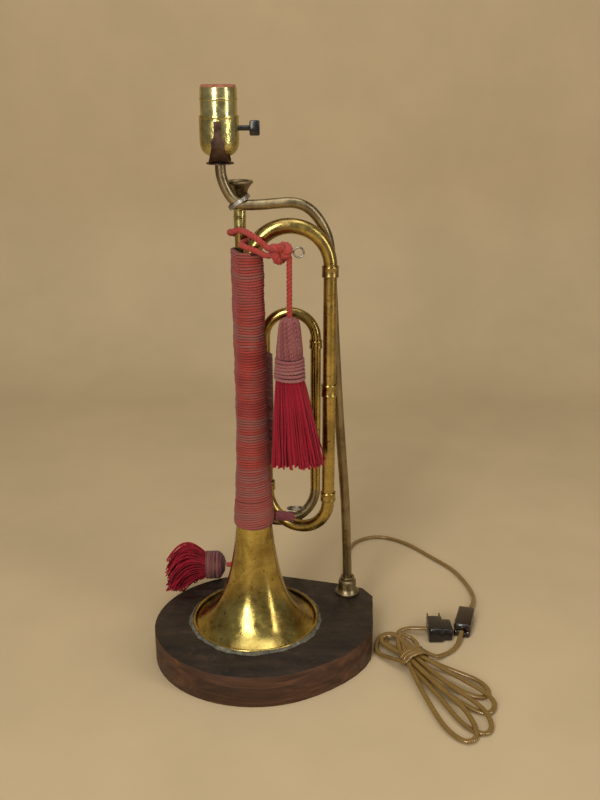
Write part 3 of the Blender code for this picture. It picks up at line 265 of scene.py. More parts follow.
class Shader:
    """A material under construction: makes and links its nodes."""

    def __init__(self, name, roughness=0.5, metallic=0.0):
        self.material = bpy.data.materials.new(name)
        self.material.use_nodes = True
        self.tree = self.material.node_tree
        self.main = self.tree.nodes["Principled BSDF"]
        self.main.inputs["Roughness"].default_value = roughness
        self.main.inputs["Metallic"].default_value = metallic
        self.place = self.tree.nodes.new("ShaderNodeTexCoord").outputs["Object"]

    def link(self, a, b):
        self.tree.links.new(a, b)

    def stretched(self, scale):
        """Object coordinates stretched along X, Y and Z."""
        mapping = self.tree.nodes.new("ShaderNodeMapping")
        mapping.inputs["Scale"].default_value = scale
        self.link(self.place, mapping.inputs["Vector"])
        return mapping.outputs["Vector"]

    def noise(self, scale, detail=4.0, rough=0.55, where=None, distortion=0.0):
        node = self.tree.nodes.new("ShaderNodeTexNoise")
        node.inputs["Scale"].default_value = scale
        node.inputs["Detail"].default_value = detail
        node.inputs["Roughness"].default_value = rough
        node.inputs["Distortion"].default_value = distortion
        self.link(where or self.place, node.inputs["Vector"])
        return node.outputs["Fac"]

    def attribute(self, name):
        node = self.tree.nodes.new("ShaderNodeAttribute")
        node.attribute_name = name
        return node.outputs["Fac"]

    def ramp(self, value, *stops):
        """Colour ramp of (position, colour) stops."""
        node = self.tree.nodes.new("ShaderNodeValToRGB")
        band = node.color_ramp
        while len(band.elements) < len(stops):
            band.elements.new(0.5)
        for element, (position, colour) in zip(band.elements, stops):
            element.position = position
            element.color = (*colour, 1.0) if len(colour) == 3 else colour
        self.link(value, node.inputs["Fac"])
        return node.outputs["Color"]

    def mix(self, factor, a, b, blend="MIX"):
        node = self.tree.nodes.new("ShaderNodeMix")
        node.data_type = "RGBA"
        node.blend_type = blend
        for socket, value in ((node.inputs[0], factor), (node.inputs[6], a), (node.inputs[7], b)):
            if isinstance(value, bpy.types.NodeSocket):
                self.link(value, socket)
            elif isinstance(value, (int, float)):
                socket.default_value = value
            else:
                socket.default_value = (*value[:3], 1.0)
        return node.outputs[2]

    def spread(self, value, low, high, start=0.35, end=0.65):
        """A value's range from start to end mapped to low to high."""
        node = self.tree.nodes.new("ShaderNodeMapRange")
        for name, number in (("From Min", start), ("From Max", end), ("To Min", low), ("To Max", high)):
            node.inputs[name].default_value = number
        self.link(value, node.inputs["Value"])
        return node.outputs["Result"]

    def times(self, value, factor):
        node = self.tree.nodes.new("ShaderNodeMath")
        node.operation = "MULTIPLY"
        node.inputs[1].default_value = factor
        self.link(value, node.inputs[0])
        return node.outputs[0]

    def sum(self, a, b, share=0.5):
        """a plus a share of b."""
        node = self.tree.nodes.new("ShaderNodeMath")
        node.operation = "MULTIPLY_ADD"
        node.inputs[1].default_value = share
        self.link(b, node.inputs[0])
        self.link(a, node.inputs[2])
        return node.outputs[0]

    def upward(self):
        """Height part of the surface's normal."""
        node = self.tree.nodes.new("ShaderNodeNewGeometry")
        split = self.tree.nodes.new("ShaderNodeSeparateXYZ")
        self.link(node.outputs["Normal"], split.inputs[0])
        return split.outputs["Z"]

    def height(self):
        split = self.tree.nodes.new("ShaderNodeSeparateXYZ")
        self.link(self.place, split.inputs[0])
        return split.outputs["Z"]

    def colour(self, socket):
        self.link(socket, self.main.inputs["Base Color"])

    def roughness(self, socket):
        self.link(socket, self.main.inputs["Roughness"])

    def bump(self, socket, strength, distance=0.001):
        node = self.tree.nodes.new("ShaderNodeBump")
        node.inputs["Strength"].default_value = strength
        node.inputs["Distance"].default_value = distance
        self.link(socket, node.inputs["Height"])
        self.link(node.outputs["Normal"], self.main.inputs["Normal"])

    def fixed(self, **values):
        """Numbers that are the same all over, set on the shader's own sockets."""
        for name, value in values.items():
            self.main.inputs[name.replace("_", " ")].default_value = value


MADE = {}


def finish(name, maker):
    """The one material of a finish, made at its first use."""
    if name not in MADE:
        MADE[name] = maker(name)
    return MADE[name]


def brass(name, clean, stain, spots, rough, dents=0.25):
    """Brass with cloudy tarnish, brown spots and shallow dents."""
    s = Shader(name, metallic=1.0)
    clouds = s.ramp(s.noise(34, 5, 0.6, distortion=0.6), (0.36, stain), (0.60, clean))
    spotted = s.ramp(s.noise(210, 3, 0.7), (0.60, (0, 0, 0)), (0.70, (1, 1, 1)))
    streaks = s.noise(60, 4, 0.6, s.stretched((1.0, 1.0, 0.16)))
    aged = s.mix(s.spread(streaks, 0.0, 0.45), clouds, stain)
    s.colour(s.mix(s.times(spotted, spots), aged, (0.060, 0.034, 0.018)))
    s.roughness(s.spread(s.noise(90, 5, 0.6), rough - 0.08, rough + 0.16, 0.3, 0.7))
    s.bump(s.sum(s.noise(26, 2, 0.4), s.noise(420, 3, 0.6), 0.10), dents, 0.0012)
    return s.material


def bell_brass(name):
    settings = bpy.context.scene.lamp_brass
    return brass(name, settings.bright, (0.27, 0.175, 0.045), 0.85, 0.18, 0.55)


def tube_brass(name):
    settings = bpy.context.scene.lamp_brass
    return brass(name, (0.60, 0.44, 0.13), settings.aged, 0.7, 0.22, 0.38)


def dull_brass(name):
    settings = bpy.context.scene.lamp_brass
    return brass(name, settings.dull, (0.19, 0.145, 0.080), 0.7, 0.32, 0.22)


def grained(name, metallic, tint, stops, rough, bump):
    """Plain surface whose colour, roughness and bump each follow a noise of their own."""
    s = Shader(name, metallic=metallic)
    s.colour(s.ramp(s.noise(*tint), *stops))
    s.roughness(s.spread(s.noise(rough[0], 4), *rough[1:]))
    s.bump(s.noise(bump[0], 3), *bump[1:])
    return s.material


def socket_brass(name):
    return grained(name, 1.0, (120, 4, 0.6), ((0.35, (0.50, 0.43, 0.17)), (0.65, (0.74, 0.66, 0.30))),
                   (160, 0.14, 0.30), (260, 0.10, 0.0006))


def embossed_brass(name):
    """Socket cap with a pressed all-over grain."""
    s = Shader(name, metallic=1.0)
    cells = s.tree.nodes.new("ShaderNodeTexVoronoi")
    cells.inputs["Scale"].default_value = 520
    s.link(s.place, cells.inputs["Vector"])
    s.colour(s.ramp(s.noise(90, 5, 0.6), (0.35, (0.40, 0.33, 0.12)), (0.65, (0.66, 0.56, 0.22))))
    s.roughness(s.spread(s.noise(160, 4), 0.18, 0.34))
    s.bump(cells.outputs["Distance"], 0.28, 0.0005)
    return s.material


def bronze(name):
    return grained(name, 0.85, (120, 5, 0.65),
                   ((0.35, (0.040, 0.022, 0.016)), (0.68, (0.13, 0.075, 0.050))),
                   (200, 0.32, 0.60), (500, 0.20, 0.0005))


def steel(name):
    return grained(name, 0.9, (180, 5, 0.65), ((0.35, (0.16, 0.14, 0.11)), (0.65, (0.44, 0.42, 0.37))),
                   (260, 0.28, 0.52), (700, 0.22, 0.0005))


def yarn(name, first, second, dark_and_gap_shade, fade_low=None):
    """Twisted cotton: each strand its own tone, fibres as a fine bump, dust in patches; the darkest colour
    is also painted on the cores as shade between the turns.
    """
    s = Shader(name, 0.9)
    strand = s.attribute("strand")
    # At 0.0 the ramp gives the cores the darkest colour, painted shade between the yarns
    shade = s.ramp(strand, (0.0, dark_and_gap_shade), (0.22, first), (0.65, first), (1.0, second))
    patches = s.spread(s.noise(42, 5, 0.6), 0.0, 0.55, 0.45, 0.66)
    colour = s.mix(patches, shade, second)
    fine = s.noise(FIBRE_SCALE, 3, 0.7)
    colour = s.mix(s.spread(fine, 0.0, 0.55, 0.45, 0.70), colour, dark_and_gap_shade)
    if fade_low:
        colour = s.mix(s.spread(s.height(), 0.65, 0.0, *fade_low), colour, second)
    s.colour(colour)
    s.roughness(s.spread(s.noise(300, 3), 0.80, 0.98))
    s.bump(s.sum(fine, s.noise(2400, 2), 0.4), 0.65, 0.0007)
    s.fixed(Sheen_Weight=0.10, Sheen_Roughness=0.5, Specular_IOR_Level=0.2)
    return s.material


def red_yarn(name):
    settings = bpy.context.scene.lamp_yarn
    return yarn(name, settings.red, settings.dust, (0.10, 0.022, 0.022), (0.14, 0.22))


def plum_yarn(name):
    settings = bpy.context.scene.lamp_yarn
    return yarn(name, settings.plum, (0.22, 0.095, 0.085), (0.045, 0.014, 0.018))


def crimson_yarn(name):
    settings = bpy.context.scene.lamp_yarn
    return yarn(name, settings.crimson, (0.40, 0.010, 0.030), (0.080, 0.001, 0.006))


def rose_yarn(name):
    settings = bpy.context.scene.lamp_yarn
    return yarn(name, settings.red, (0.42, 0.070, 0.058), (0.14, 0.016, 0.016))


def mauve_yarn(name):
    return yarn(name, (0.27, 0.075, 0.075), (0.34, 0.135, 0.120), (0.050, 0.014, 0.016))


def worn_wood(name):
    """Dark stained board: top painted near-black as shade, reddish brown sides with long grain, lighter
    worn patches.
    """
    s = Shader(name, 0.6)
    grain = s.noise(24, 6, 0.65, s.stretched((0.35, 2.4, 5.0)), 0.8)
    rings = s.noise(160, 4, 0.6, s.stretched((0.10, 1.0, 2.2)))
    side = s.ramp(grain, (0.32, (0.030, 0.012, 0.006)), (0.52, (0.078, 0.031, 0.014)),
                  (0.72, (0.150, 0.062, 0.028)))
    # Top ramp: a darker copy of the wood for upward faces, painted shade
    top = s.ramp(s.noise(30, 6, 0.65, s.stretched((0.6, 2.0, 1.0))), (0.35, (0.009, 0.006, 0.004)),
                 (0.62, (0.030, 0.019, 0.012)), (0.78, (0.068, 0.042, 0.026)))
    # Upward faces take the painted shade of the top; the sides keep the lighter ramp
    painted_top_shade_mask = s.spread(s.upward(), 0.0, 1.0, 0.35, 0.85)
    worn = s.mix(s.spread(s.noise(70, 5, 0.7), 0.0, 0.55, 0.55, 0.75), s.mix(painted_top_shade_mask, side, top),
                 (0.085, 0.045, 0.026))
    s.colour(s.mix(s.spread(rings, 0.0, 0.35), worn, (0.020, 0.011, 0.007)))
    s.roughness(s.spread(s.noise(80, 5, 0.6), 0.38, 0.72))
    s.bump(s.sum(grain, rings, 0.6), 0.30, 0.0008)
    s.fixed(Specular_IOR_Level=0.35)
    return s.material


def putty(name):
    s = Shader(name, 0.85)
    s.colour(s.ramp(s.noise(150, 6, 0.7), (0.32, (0.040, 0.034, 0.022)), (0.55, (0.115, 0.105, 0.070)),
                    (0.75, (0.26, 0.25, 0.19))))
    s.bump(s.noise(320, 5, 0.7), 0.6, 0.0012)
    s.roughness(s.spread(s.noise(200, 4), 0.65, 0.95))
    return s.material


def card(name):
    return grained(name, 0.0, (260, 5, 0.7), ((0.30, (0.20, 0.060, 0.035)), (0.70, (0.42, 0.16, 0.095))),
                   (200, 0.80, 0.98), (900, 0.35, 0.0005))


def ceramic(name):
    return grained(name, 0.0, (120, 4), ((0.35, (0.52, 0.47, 0.38)), (0.65, (0.66, 0.62, 0.53))),
                   (150, 0.22, 0.42), (300, 0.12, 0.0005))


def moulded(name, dark, light, rough):
    """Moulded plastic with a mottled tone and a faint grain."""
    s = Shader(name, rough)
    s.colour(s.ramp(s.noise(180, 5, 0.65), (0.40, dark), (0.75, light)))
    s.roughness(s.spread(s.noise(220, 4, 0.6), rough - 0.06, rough + 0.16))
    s.bump(s.noise(800, 3), 0.10, 0.0004)
    s.fixed(Coat_Weight=0.25, Coat_Roughness=0.15)
    return s.material


def black_plastic(name):
    return moulded(name, (0.004, 0.004, 0.004), (0.014, 0.012, 0.012), 0.20)


def brown_plastic(name):
    return moulded(name, (0.009, 0.004, 0.004), (0.026, 0.011, 0.009), 0.13)


def vinyl_cord(name):
    """Clear jacket over two gold strands, the lay of the wires showing as slanting bands."""
    settings = bpy.context.scene.lamp_cord
    s = Shader(name, 0.30, 0.25)
    split = s.tree.nodes.new("ShaderNodeSeparateXYZ")
    coordinates = s.tree.nodes.new("ShaderNodeUVMap")
    coordinates.uv_map = "along"
    s.link(coordinates.outputs["UV"], split.inputs[0])
    slant = s.sum(split.outputs["X"], split.outputs["Y"], CORD_BANDS_PER_METRE)
    wave = s.tree.nodes.new("ShaderNodeMath")
    wave.operation = "SINE"
    s.link(s.times(slant, 2 * math.pi * CORD_BANDS), wave.inputs[0])
    lay = s.spread(wave.outputs[0], 0.0, 1.0, -1.0, 1.0)
    banded = s.mix(lay, settings.brown, settings.gold)
    s.colour(s.mix(s.spread(s.noise(60, 4, 0.6), 0.0, 0.6), banded, (0.17, 0.095, 0.025)))
    s.roughness(s.spread(s.noise(300, 4), 0.14, 0.28))
    s.bump(lay, 0.18, 0.0003)
    s.fixed(Coat_Weight=0.6, Coat_Roughness=0.12)
    return s.material


def backdrop(name):
    settings = bpy.context.scene.lamp_stage
    s = Shader(name, 0.9)
    paler = tuple(min(1.0, c * 1.10) for c in settings.backdrop)
    s.colour(s.ramp(s.noise(5.5, 5, 0.6), (0.35, tuple(settings.backdrop)), (0.68, paler)))
    return s.material


# ---------------------------------------------------------------- mesh helpers

def keep(item, body, material, *nodes, slot=None):
    """Give a finished piece its material and its body, and hide the frame's nodes it stands for."""
    item.data.materials.clear()
    item.data.materials.append(material)
    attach(item, body)
    if nodes:
        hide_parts(*nodes)
    return item


def keep_copy(node, body, material, slot, bevel=0.0):
    """Finish one of the frame's nodes in its own shape."""
    return keep(smoothed_copy(node, bevel), body, material, node, slot=slot)


def span(node):
    """Low corner, high corner and centre of a frame node's box."""
    low, high = (Vector(corner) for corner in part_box(node))
    return low, high, (low + high) / 2


def placing(centre, scale):
    """Matrix that scales about the origin and moves to centre."""
    return Matrix.Translation(centre) @ Matrix.Diagonal((*scale, 1.0))


def placed(name, mesh):
    item = bpy.data.objects.new(name, mesh)
    bpy.context.scene.collection.objects.link(item)
    return item


def smooth_path(route, spacing, closed=False):
    """Points every spacing along a smooth curve through the route's own points."""
    points = [Vector(p) for p in route]
    count = len(points)
    dense = []
    for i in range(count if closed else count - 1):
        if closed:
            before, start, end, after = (points[(i + k) % count] for k in (-1, 0, 1, 2))
        else:
            start, end = points[i], points[i + 1]
            before = points[i - 1] if i else start * 2 - end
            after = points[i + 2] if i + 2 < count else end * 2 - start
        for step in range(24):
            t = step / 24
            dense.append(0.5 * (2 * start + (end - before) * t
                                + (2 * before - 5 * start + 4 * end - after) * t * t
                                + (3 * start - before - 3 * end + after) * t ** 3))
    dense.append(points[0].copy() if closed else points[-1].copy())
    lengths = [0.0]
    for a, b in zip(dense, dense[1:]):
        lengths.append(lengths[-1] + (b - a).length)
    pieces = max(2, round(lengths[-1] / spacing))
    even, j = [], 0
    for k in range(pieces + 1):
        want = lengths[-1] * k / pieces
        while j < len(lengths) - 2 and lengths[j + 1] < want:
            j += 1
        part = (want - lengths[j]) / max(lengths[j + 1] - lengths[j], 1e-9)
        even.append(dense[j].lerp(dense[j + 1], part))
    return even[:-1] if closed else even


def lathe(name, profile, centre=(0, 0, 0), along=(0, 0, 1), segments=96, wobble=None):
    """Closed profile of (radius, height) turned about an axis; points on the axis close it."""
    quat = Vector(along).to_track_quat("Z", "Y")
    centre = Vector(centre)
    work = bmesh.new()
    rings = []
    for radius, height in profile:
        if radius < 1e-7:
            rings.append([work.verts.new(centre + quat @ Vector((0, 0, height)))])
            continue
        ring = []
        for i in range(segments):
            angle = 2 * math.pi * i / segments
            r = radius + (wobble(angle, radius, height) if wobble else 0.0)
            ring.append(work.verts.new(
                centre + quat @ Vector((r * math.cos(angle), r * math.sin(angle), height))))
        rings.append(ring)
    pairs = list(zip(rings, rings[1:]))
    if len(rings[0]) > 1 and len(rings[-1]) > 1:
        pairs.append((rings[-1], rings[0]))
    for a, b in pairs:
        for i in range(segments):
            j = (i + 1) % segments
            corners = [a[i % len(a)], a[j % len(a)], b[j % len(b)], b[i % len(b)]]
            unique = list(dict.fromkeys(corners))
            if len(unique) > 2:
                work.faces.new(unique)
    return closed_mesh(name, work)


def closed_mesh(name, work, sharp=math.radians(38)):
    """Mesh from a bmesh, its faces outward, smooth but for its sharp edges."""
    bmesh.ops.recalc_face_normals(work, faces=work.faces)
    mesh = bpy.data.meshes.new(name)
    work.to_mesh(mesh)
    work.free()
    mesh.shade_smooth()
    mesh.set_sharp_from_angle(angle=sharp)
    return placed(name, mesh)


def frames(points, level=False):
    """Tangent and two cross directions at each point; level keeps the first one flat."""
    result = []
    across = None
    for i in range(len(points)):
        ahead = points[min(i + 1, len(points) - 1)] - points[max(i - 1, 0)]
        tangent = ahead.normalized()
        if level:
            flat = tangent.cross(Vector((0, 0, 1)))
            wanted = flat.normalized() if flat.length > 0.2 else (across or Vector((1, 0, 0)))
            if across and wanted.dot(across) < 0:
                wanted = -wanted
            across = wanted if across is None else across.lerp(wanted, 0.5)
        elif across is None:
            across = tangent.orthogonal()
        across = (across - tangent * across.dot(tangent)).normalized()
        result.append((tangent, across, tangent.cross(across)))
    return result


def sweep(name, points, section, level=False, uv=False):
    """Section function (index) -> list of (across, up) swept along points, ends capped."""
    work = bmesh.new()
    rings = []
    for i, (point, (_, across, up)) in enumerate(zip(points, frames(points, level))):
        rings.append([work.verts.new(point + across * a + up * b) for a, b in section(i)])
    layer = work.loops.layers.uv.new("along") if uv else None
    travelled = [0.0]
    for a, b in zip(points, points[1:]):
        travelled.append(travelled[-1] + (b - a).length)
    count = len(rings[0])
    for k, (a, b) in enumerate(zip(rings, rings[1:])):
        for i in range(count):
            face = work.faces.new((a[i], a[(i + 1) % count], b[(i + 1) % count], b[i]))
            if uv:
                places = ((i, k), (i + 1, k), (i + 1, k + 1), (i, k + 1))
                for loop, (u, v) in zip(face.loops, places):
                    loop[layer].uv = (u / count, travelled[v])
    work.faces.new(list(reversed(rings[0])))
    work.faces.new(rings[-1])
    return closed_mesh(name, work, math.radians(60))


def round_section(radii, sides=32):
    """Round section whose radius may change from point to point."""
    def section(i):
        radius = radii[i] if isinstance(radii, list) else radii
        return [(radius * math.cos(2 * math.pi * k / sides), radius * math.sin(2 * math.pi * k / sides))
                for k in range(sides)]
    return section


def smoothed_copy(node, bevel=0.0):
    """A finished copy of a frame node: smooth shading, crisp edges, an optional edge bevel."""
    source = NODES[node]
    mesh = source.data.copy()
    mesh.transform(source.matrix_world)
    work = bmesh.new()
    work.from_mesh(mesh)
    bmesh.ops.remove_doubles(work, verts=work.verts, dist=0.000005)
    bmesh.ops.dissolve_limit(work, angle_limit=math.radians(1.0), verts=work.verts, edges=work.edges)
    bmesh.ops.recalc_face_normals(work, faces=work.faces)
    work.to_mesh(mesh)
    work.free()
    mesh.shade_smooth()
    mesh.set_sharp_from_angle(angle=math.radians(32))
    item = placed(node + "_finished", mesh)
    if bevel:
        edge = item.modifiers.new("edges", "BEVEL")
        edge.width = bevel
        edge.segments = 3
        edge.limit_method = "ANGLE"
        edge.angle_limit = math.radians(32)
        edge.harden_normals = True
        baked(item)
    return item


def baked(item):
    """Turn an object's evaluated modifiers into its plain mesh."""
    bpy.context.view_layer.update()
    mesh = bpy.data.meshes.new_from_object(item.evaluated_get(bpy.context.evaluated_depsgraph_get()))
    item.modifiers.clear()
    item.data = mesh
    return item


# ---------------------------------------------------------------- strands as geometry nodes

def strand_tree():
    """Node group that turns every path of a mesh into a yarn of a given thickness."""
    if "Strands" in bpy.data.node_groups:
        return bpy.data.node_groups["Strands"]
    tree = bpy.data.node_groups.new("Strands", "GeometryNodeTree")
    face = tree.interface
    face.new_socket("Paths", in_out="INPUT", socket_type="NodeSocketGeometry")
    for label, kind, start in (("Radius", "NodeSocketFloat", 0.001), ("Sides", "NodeSocketInt", 8),
                               ("Unevenness", "NodeSocketFloat", 0.12), ("Seed", "NodeSocketInt", 3)):
        face.new_socket(label, in_out="INPUT", socket_type=kind).default_value = start
    face.new_socket("Material", in_out="INPUT", socket_type="NodeSocketMaterial")
    face.new_socket("Yarn", in_out="OUTPUT", socket_type="NodeSocketGeometry")

    def make(kind, **wires):
        """A node of one kind, each named input linked to a socket."""
        node = tree.nodes.new(kind)
        for name, source in wires.items():
            tree.links.new(source, node.inputs[name.replace("_", " ")])
        return node

    given = make("NodeGroupInput").outputs
    curve = make("GeometryNodeMeshToCurve", Mesh=given["Paths"])
    chance = make("FunctionNodeRandomValue", Seed=given["Seed"])
    chance.data_type = "FLOAT"
    for socket, operation in ((2, "SUBTRACT"), (3, "ADD")):
        bound = make("ShaderNodeMath")
        bound.operation = operation
        bound.inputs[0].default_value = 1.0
        tree.links.new(given["Unevenness"], bound.inputs[1])
        tree.links.new(bound.outputs[0], chance.inputs[socket])
    uneven = make("GeometryNodeSetCurveRadius", Curve=curve.outputs["Curve"], Radius=chance.outputs[1])
    circle = make("GeometryNodeCurvePrimitiveCircle", Resolution=given["Sides"], Radius=given["Radius"])
    tube = make("GeometryNodeCurveToMesh", Curve=uneven.outputs["Curve"],
                Profile_Curve=circle.outputs["Curve"])
    tube.inputs["Fill Caps"].default_value = True
    if "Scale" in tube.inputs:
        tree.links.new(make("GeometryNodeInputRadius").outputs[0], tube.inputs["Scale"])
    smooth = make("GeometryNodeSetShadeSmooth", Geometry=tube.outputs["Mesh"])
    real = make("GeometryNodeRealizeInstances", Geometry=smooth.outputs["Geometry"])
    painted = make("GeometryNodeSetMaterial", Geometry=real.outputs["Geometry"],
                   Material=given["Material"])
    make("NodeGroupOutput", Yarn=painted.outputs["Geometry"])
    return tree


def strands(name, paths, radius, material, sides=8, unevenness=0.10, seed=3, chosen=None):
    """A piece made of yarns along paths, each with a shade of its own, as a plain mesh."""
    pick = random.Random(seed)
    verts, edges, shades = [], [], []
    for number, path in enumerate(paths):
        start = len(verts)
        verts += [tuple(p) for p in path]
        edges += [(start + i, start + i + 1) for i in range(len(path) - 1)]
        shade = chosen[number] if chosen else pick.random()
        shades += [shade] * len(path)
    mesh = bpy.data.meshes.new(name)
    mesh.from_pydata(verts, edges, [])
    mesh.attributes.new("strand", "FLOAT", "POINT").data.foreach_set("value", shades)
    item = placed(name, mesh)
    tree = strand_tree()
    modifier = item.modifiers.new("strands", "NODES")
    modifier.node_group = tree
    values = {"Radius": radius, "Sides": sides, "Unevenness": unevenness, "Seed": seed,
              "Material": material}
    for socket in tree.interface.items_tree:
        if socket.in_out == "INPUT" and socket.name in values:
            modifier[socket.identifier] = values[socket.name]
    baked(item)
    if not item.data.polygons:
        raise RuntimeError(name + " has no strands")
    return item


def join(name, *items):
    """Several mesh objects as one piece, each keeping its attributes."""
    work = bmesh.new()
    strand = work.verts.layers.float.new("strand")
    for item in items:
        start = len(work.verts)
        work.from_mesh(item.data)
        # Pieces without strands, the cores, get 0.0: the yarn's darkest colour, painted shade between the
        # turns
        if "strand" not in item.data.attributes:
            work.verts.ensure_lookup_table()
            for corner in list(work.verts)[start:]:
                corner[strand] = 0.0
    mesh = bpy.data.meshes.new(name)
    work.to_mesh(mesh)
    work.free()
    mesh.shade_smooth()
    for item in items:
        bpy.data.objects.remove(item, do_unlink=True)
    return placed(name, mesh)


def ring_points(centre, radius, steps, place):
    """Points once round a circle; place says where a (cosine, sine, angle) lies."""
    angles = [2 * math.pi * i / steps for i in range(steps + 1)]
    return [centre + Vector(place(radius * math.cos(a), radius * math.sin(a), a)) for a in angles]


def pair_shades(pick, count):
    """The same random shade for both yarns of each strand."""
    shades = []
    for _ in range(count):
        shades += [pick.random()] * 2
    return shades


def laid_strands(points, count, radius, lay, share=0.5):
    """Paths of the strands of a rope laid round a centre line."""
    paths = [[] for _ in range(count)]
    travelled = 0.0
    for i, (point, (_, across, up)) in enumerate(zip(points, frames(points))):
        if i:
            travelled += (point - points[i - 1]).length
        for k in range(count):
            angle = 2 * math.pi * (k / count + travelled / lay)
            offset = across * math.cos(angle) + up * math.sin(angle)
            paths[k].append(point + offset * radius * share)
    return paths


def rope(name, points, radius, material, lay=None, count=3, seed=5):
    """Laid rope along points."""
    lay = lay or bpy.context.scene.lamp_yarn.twist
    return strands(name, laid_strands(points, count, radius, lay), radius * 0.56, material, 8, 0.06, seed)


# ---------------------------------------------------------------- shapes shared with the frame

def bell_radius(z):
    """The bell's curve: rim radius times a power of the height above the rim."""
    height = max(z - BELL_LOW, 0.0)
    return RIM_RADIUS * (FLARE_START / (FLARE_START + height)) ** FLARE_POWER


def leg_point(ends, z, low, high):
    (x0, y0), (x1, y1) = ends
    share = (z - low) / (high - low)
    return Vector((x0 + (x1 - x0) * share, y0 + (y1 - y0) * share, z))


def inner_left(z):
    return leg_point(INNER_LEFT, z, LOW_BOW_Z, SMALL_BOW_Z)


def inner_right(z):
    return leg_point(INNER_RIGHT, z, LOW_BOW_Z, SMALL_BOW_Z)


def lead(z):
    return leg_point(LEAD, z, LOW_BOW_Z, LEAD_TOP_Z)


def bow_points(left, right, direction, segments=56):
    """Half circle from one leg's end to the other's, up (1) or down (-1), with square ends."""
    left, right = Vector(left), Vector(right)
    centre = (left + right) / 2 + Vector((0, 0, direction * BOW_LEAD))
    half = (left - right) / 2
    rise = Vector((0, 0, direction * half.length))
    angles = [math.pi * i / segments for i in range(segments + 1)]
    arc = [centre + half * math.cos(a) + rise * math.sin(a) for a in angles]
    return [left] + arc + [right]


def wrap_outside(z):
    """How far the wrap's outside stands off the tubes at height z."""
    share = (z - WRAP_LOW_Z) / (WRAP_TOP_Z - WRAP_LOW_Z)
    return WRAP_THICK_LOW + WRAP_GROWTH * min(share, 1.0)


def wrap_point(angle, z, inset):
    """Point of the wrap in one direction at one height, inset from its outside."""
    normal = Vector((math.cos(angle), math.sin(angle), 0.0))
    grown = wrap_outside(z) - inset
    circles = [(Vector((0, 0, z)), bell_radius(z) + grown)]
    if z > LOW_BOW_Z + 0.004:
        centre = lead(z)
        circles.append((centre, INNER_RADIUS + grown))
    centre, radius = max(circles, key=lambda c: c[0].dot(normal) + c[1])
    point = centre + normal * radius
    return Vector((point.x, point.y, z))


# ---------------------------------------------------------------- operators

class LAMP_OT_stage(bpy.types.Operator):
    """Make the camera, the floor and wall, and the soft lights"""
    bl_idname = "lamp.stage"
    bl_label = "Stage"

    def execute(self, context):
        settings = context.scene.lamp_stage
        data = bpy.data.cameras.new("camera")
        data.lens = settings.lens
        data.sensor_width = 36.0
        data.clip_end = 50.0
        camera = bpy.data.objects.new("camera", data)
        camera.location = CAMERA_PLACE
        camera.rotation_euler = (math.radians(90) - settings.pitch, 0.0, 0.0)
        context.scene.collection.objects.link(camera)
        context.scene.camera = camera
        self.floor()
        self.lights()
        world = bpy.data.worlds.new("room")
        world.use_nodes = True
        world.node_tree.nodes["Background"].inputs["Color"].default_value = (0.80, 0.76, 0.70, 1)
        world.node_tree.nodes["Background"].inputs["Strength"].default_value = 0.26
        context.scene.world = world
        context.scene.view_settings.view_transform = "Standard"
        return {"FINISHED"}

    def floor(self):
        """Floor that curves up into a wall well behind the object."""
        work = bmesh.new()
        profile = [(-3.0, 0.0), (0.75, 0.0)]
        profile += [(0.75 + 0.35 * math.sin(math.radians(a)), 0.35 - 0.35 * math.cos(math.radians(a)))
                    for a in range(10, 91, 10)]
        profile.append((1.10, 3.2))
        rows = [[work.verts.new((x, y, z)) for x in (-3.2, 3.2)] for y, z in profile]
        for a, b in zip(rows, rows[1:]):
            work.faces.new((a[0], a[1], b[1], b[0]))
        mesh = bpy.data.meshes.new("floor_and_wall")
        work.to_mesh(mesh)
        work.free()
        mesh.shade_smooth()
        sheet = placed("floor_and_wall", mesh)
        sheet.data.materials.append(finish("backdrop_cloth", backdrop))

    def lights(self):
        """A large key above the camera's left, a fill at its right and a soft top light."""
        plan = (("key", (-0.55, -1.45, 1.15), (0.40, 1.7), 24.0, (1.0, 0.96, 0.90)),
                ("fill", (1.30, -0.85, 0.85), (0.30, 1.5), 8.0, (1.0, 0.95, 0.88)),
                ("top", (0.1, -0.2, 1.9), (1.4, 1.0), 9.0, (1.0, 0.98, 0.95)))
        for name, place, size, power, colour in plan:
            data = bpy.data.lights.new(name, "AREA")
            data.shape = "RECTANGLE"
            data.size, data.size_y = size
            data.energy = power
            data.color = colour
            light = bpy.data.objects.new(name, data)
            light.location = place
            aim = Vector((0.03, 0.0, 0.25)) - Vector(place)
            light.rotation_euler = aim.to_track_quat("-Z", "Y").to_euler()
            bpy.context.scene.collection.objects.link(light)


def twin_section(_):
    """Outline of a flat twin cord: two round lobes side by side."""
    outline = []
    for side in (1, -1):
        for k in range(-4, 5):
            angle = math.radians(k * 26) + (0 if side > 0 else math.pi)
            outline.append((side * CORD_LOBE_APART + CORD_LOBE_RADIUS * math.cos(angle),
                            CORD_LOBE_RADIUS * math.sin(angle)))
    return outline


def hank_place(along, across, height):
    return HANK_MIDDLE + HANK_ALONG * along + HANK_ACROSS * across + Vector((0, 0, height))


def tie_points():
    """Turns of the cord round the hank's middle."""
    steps = 22
    count = round(TIE_TURNS * steps)
    result = []
    for i in range(count + 1):
        angle = 2 * math.pi * i / steps
        along = -0.0055 + 0.011 * i / count
        result.append(hank_place(along, TIE_HALF[0] * math.cos(angle),
                                 TIE_MIDDLE_Z + TIE_HALF[1] * math.sin(angle)))
    return result


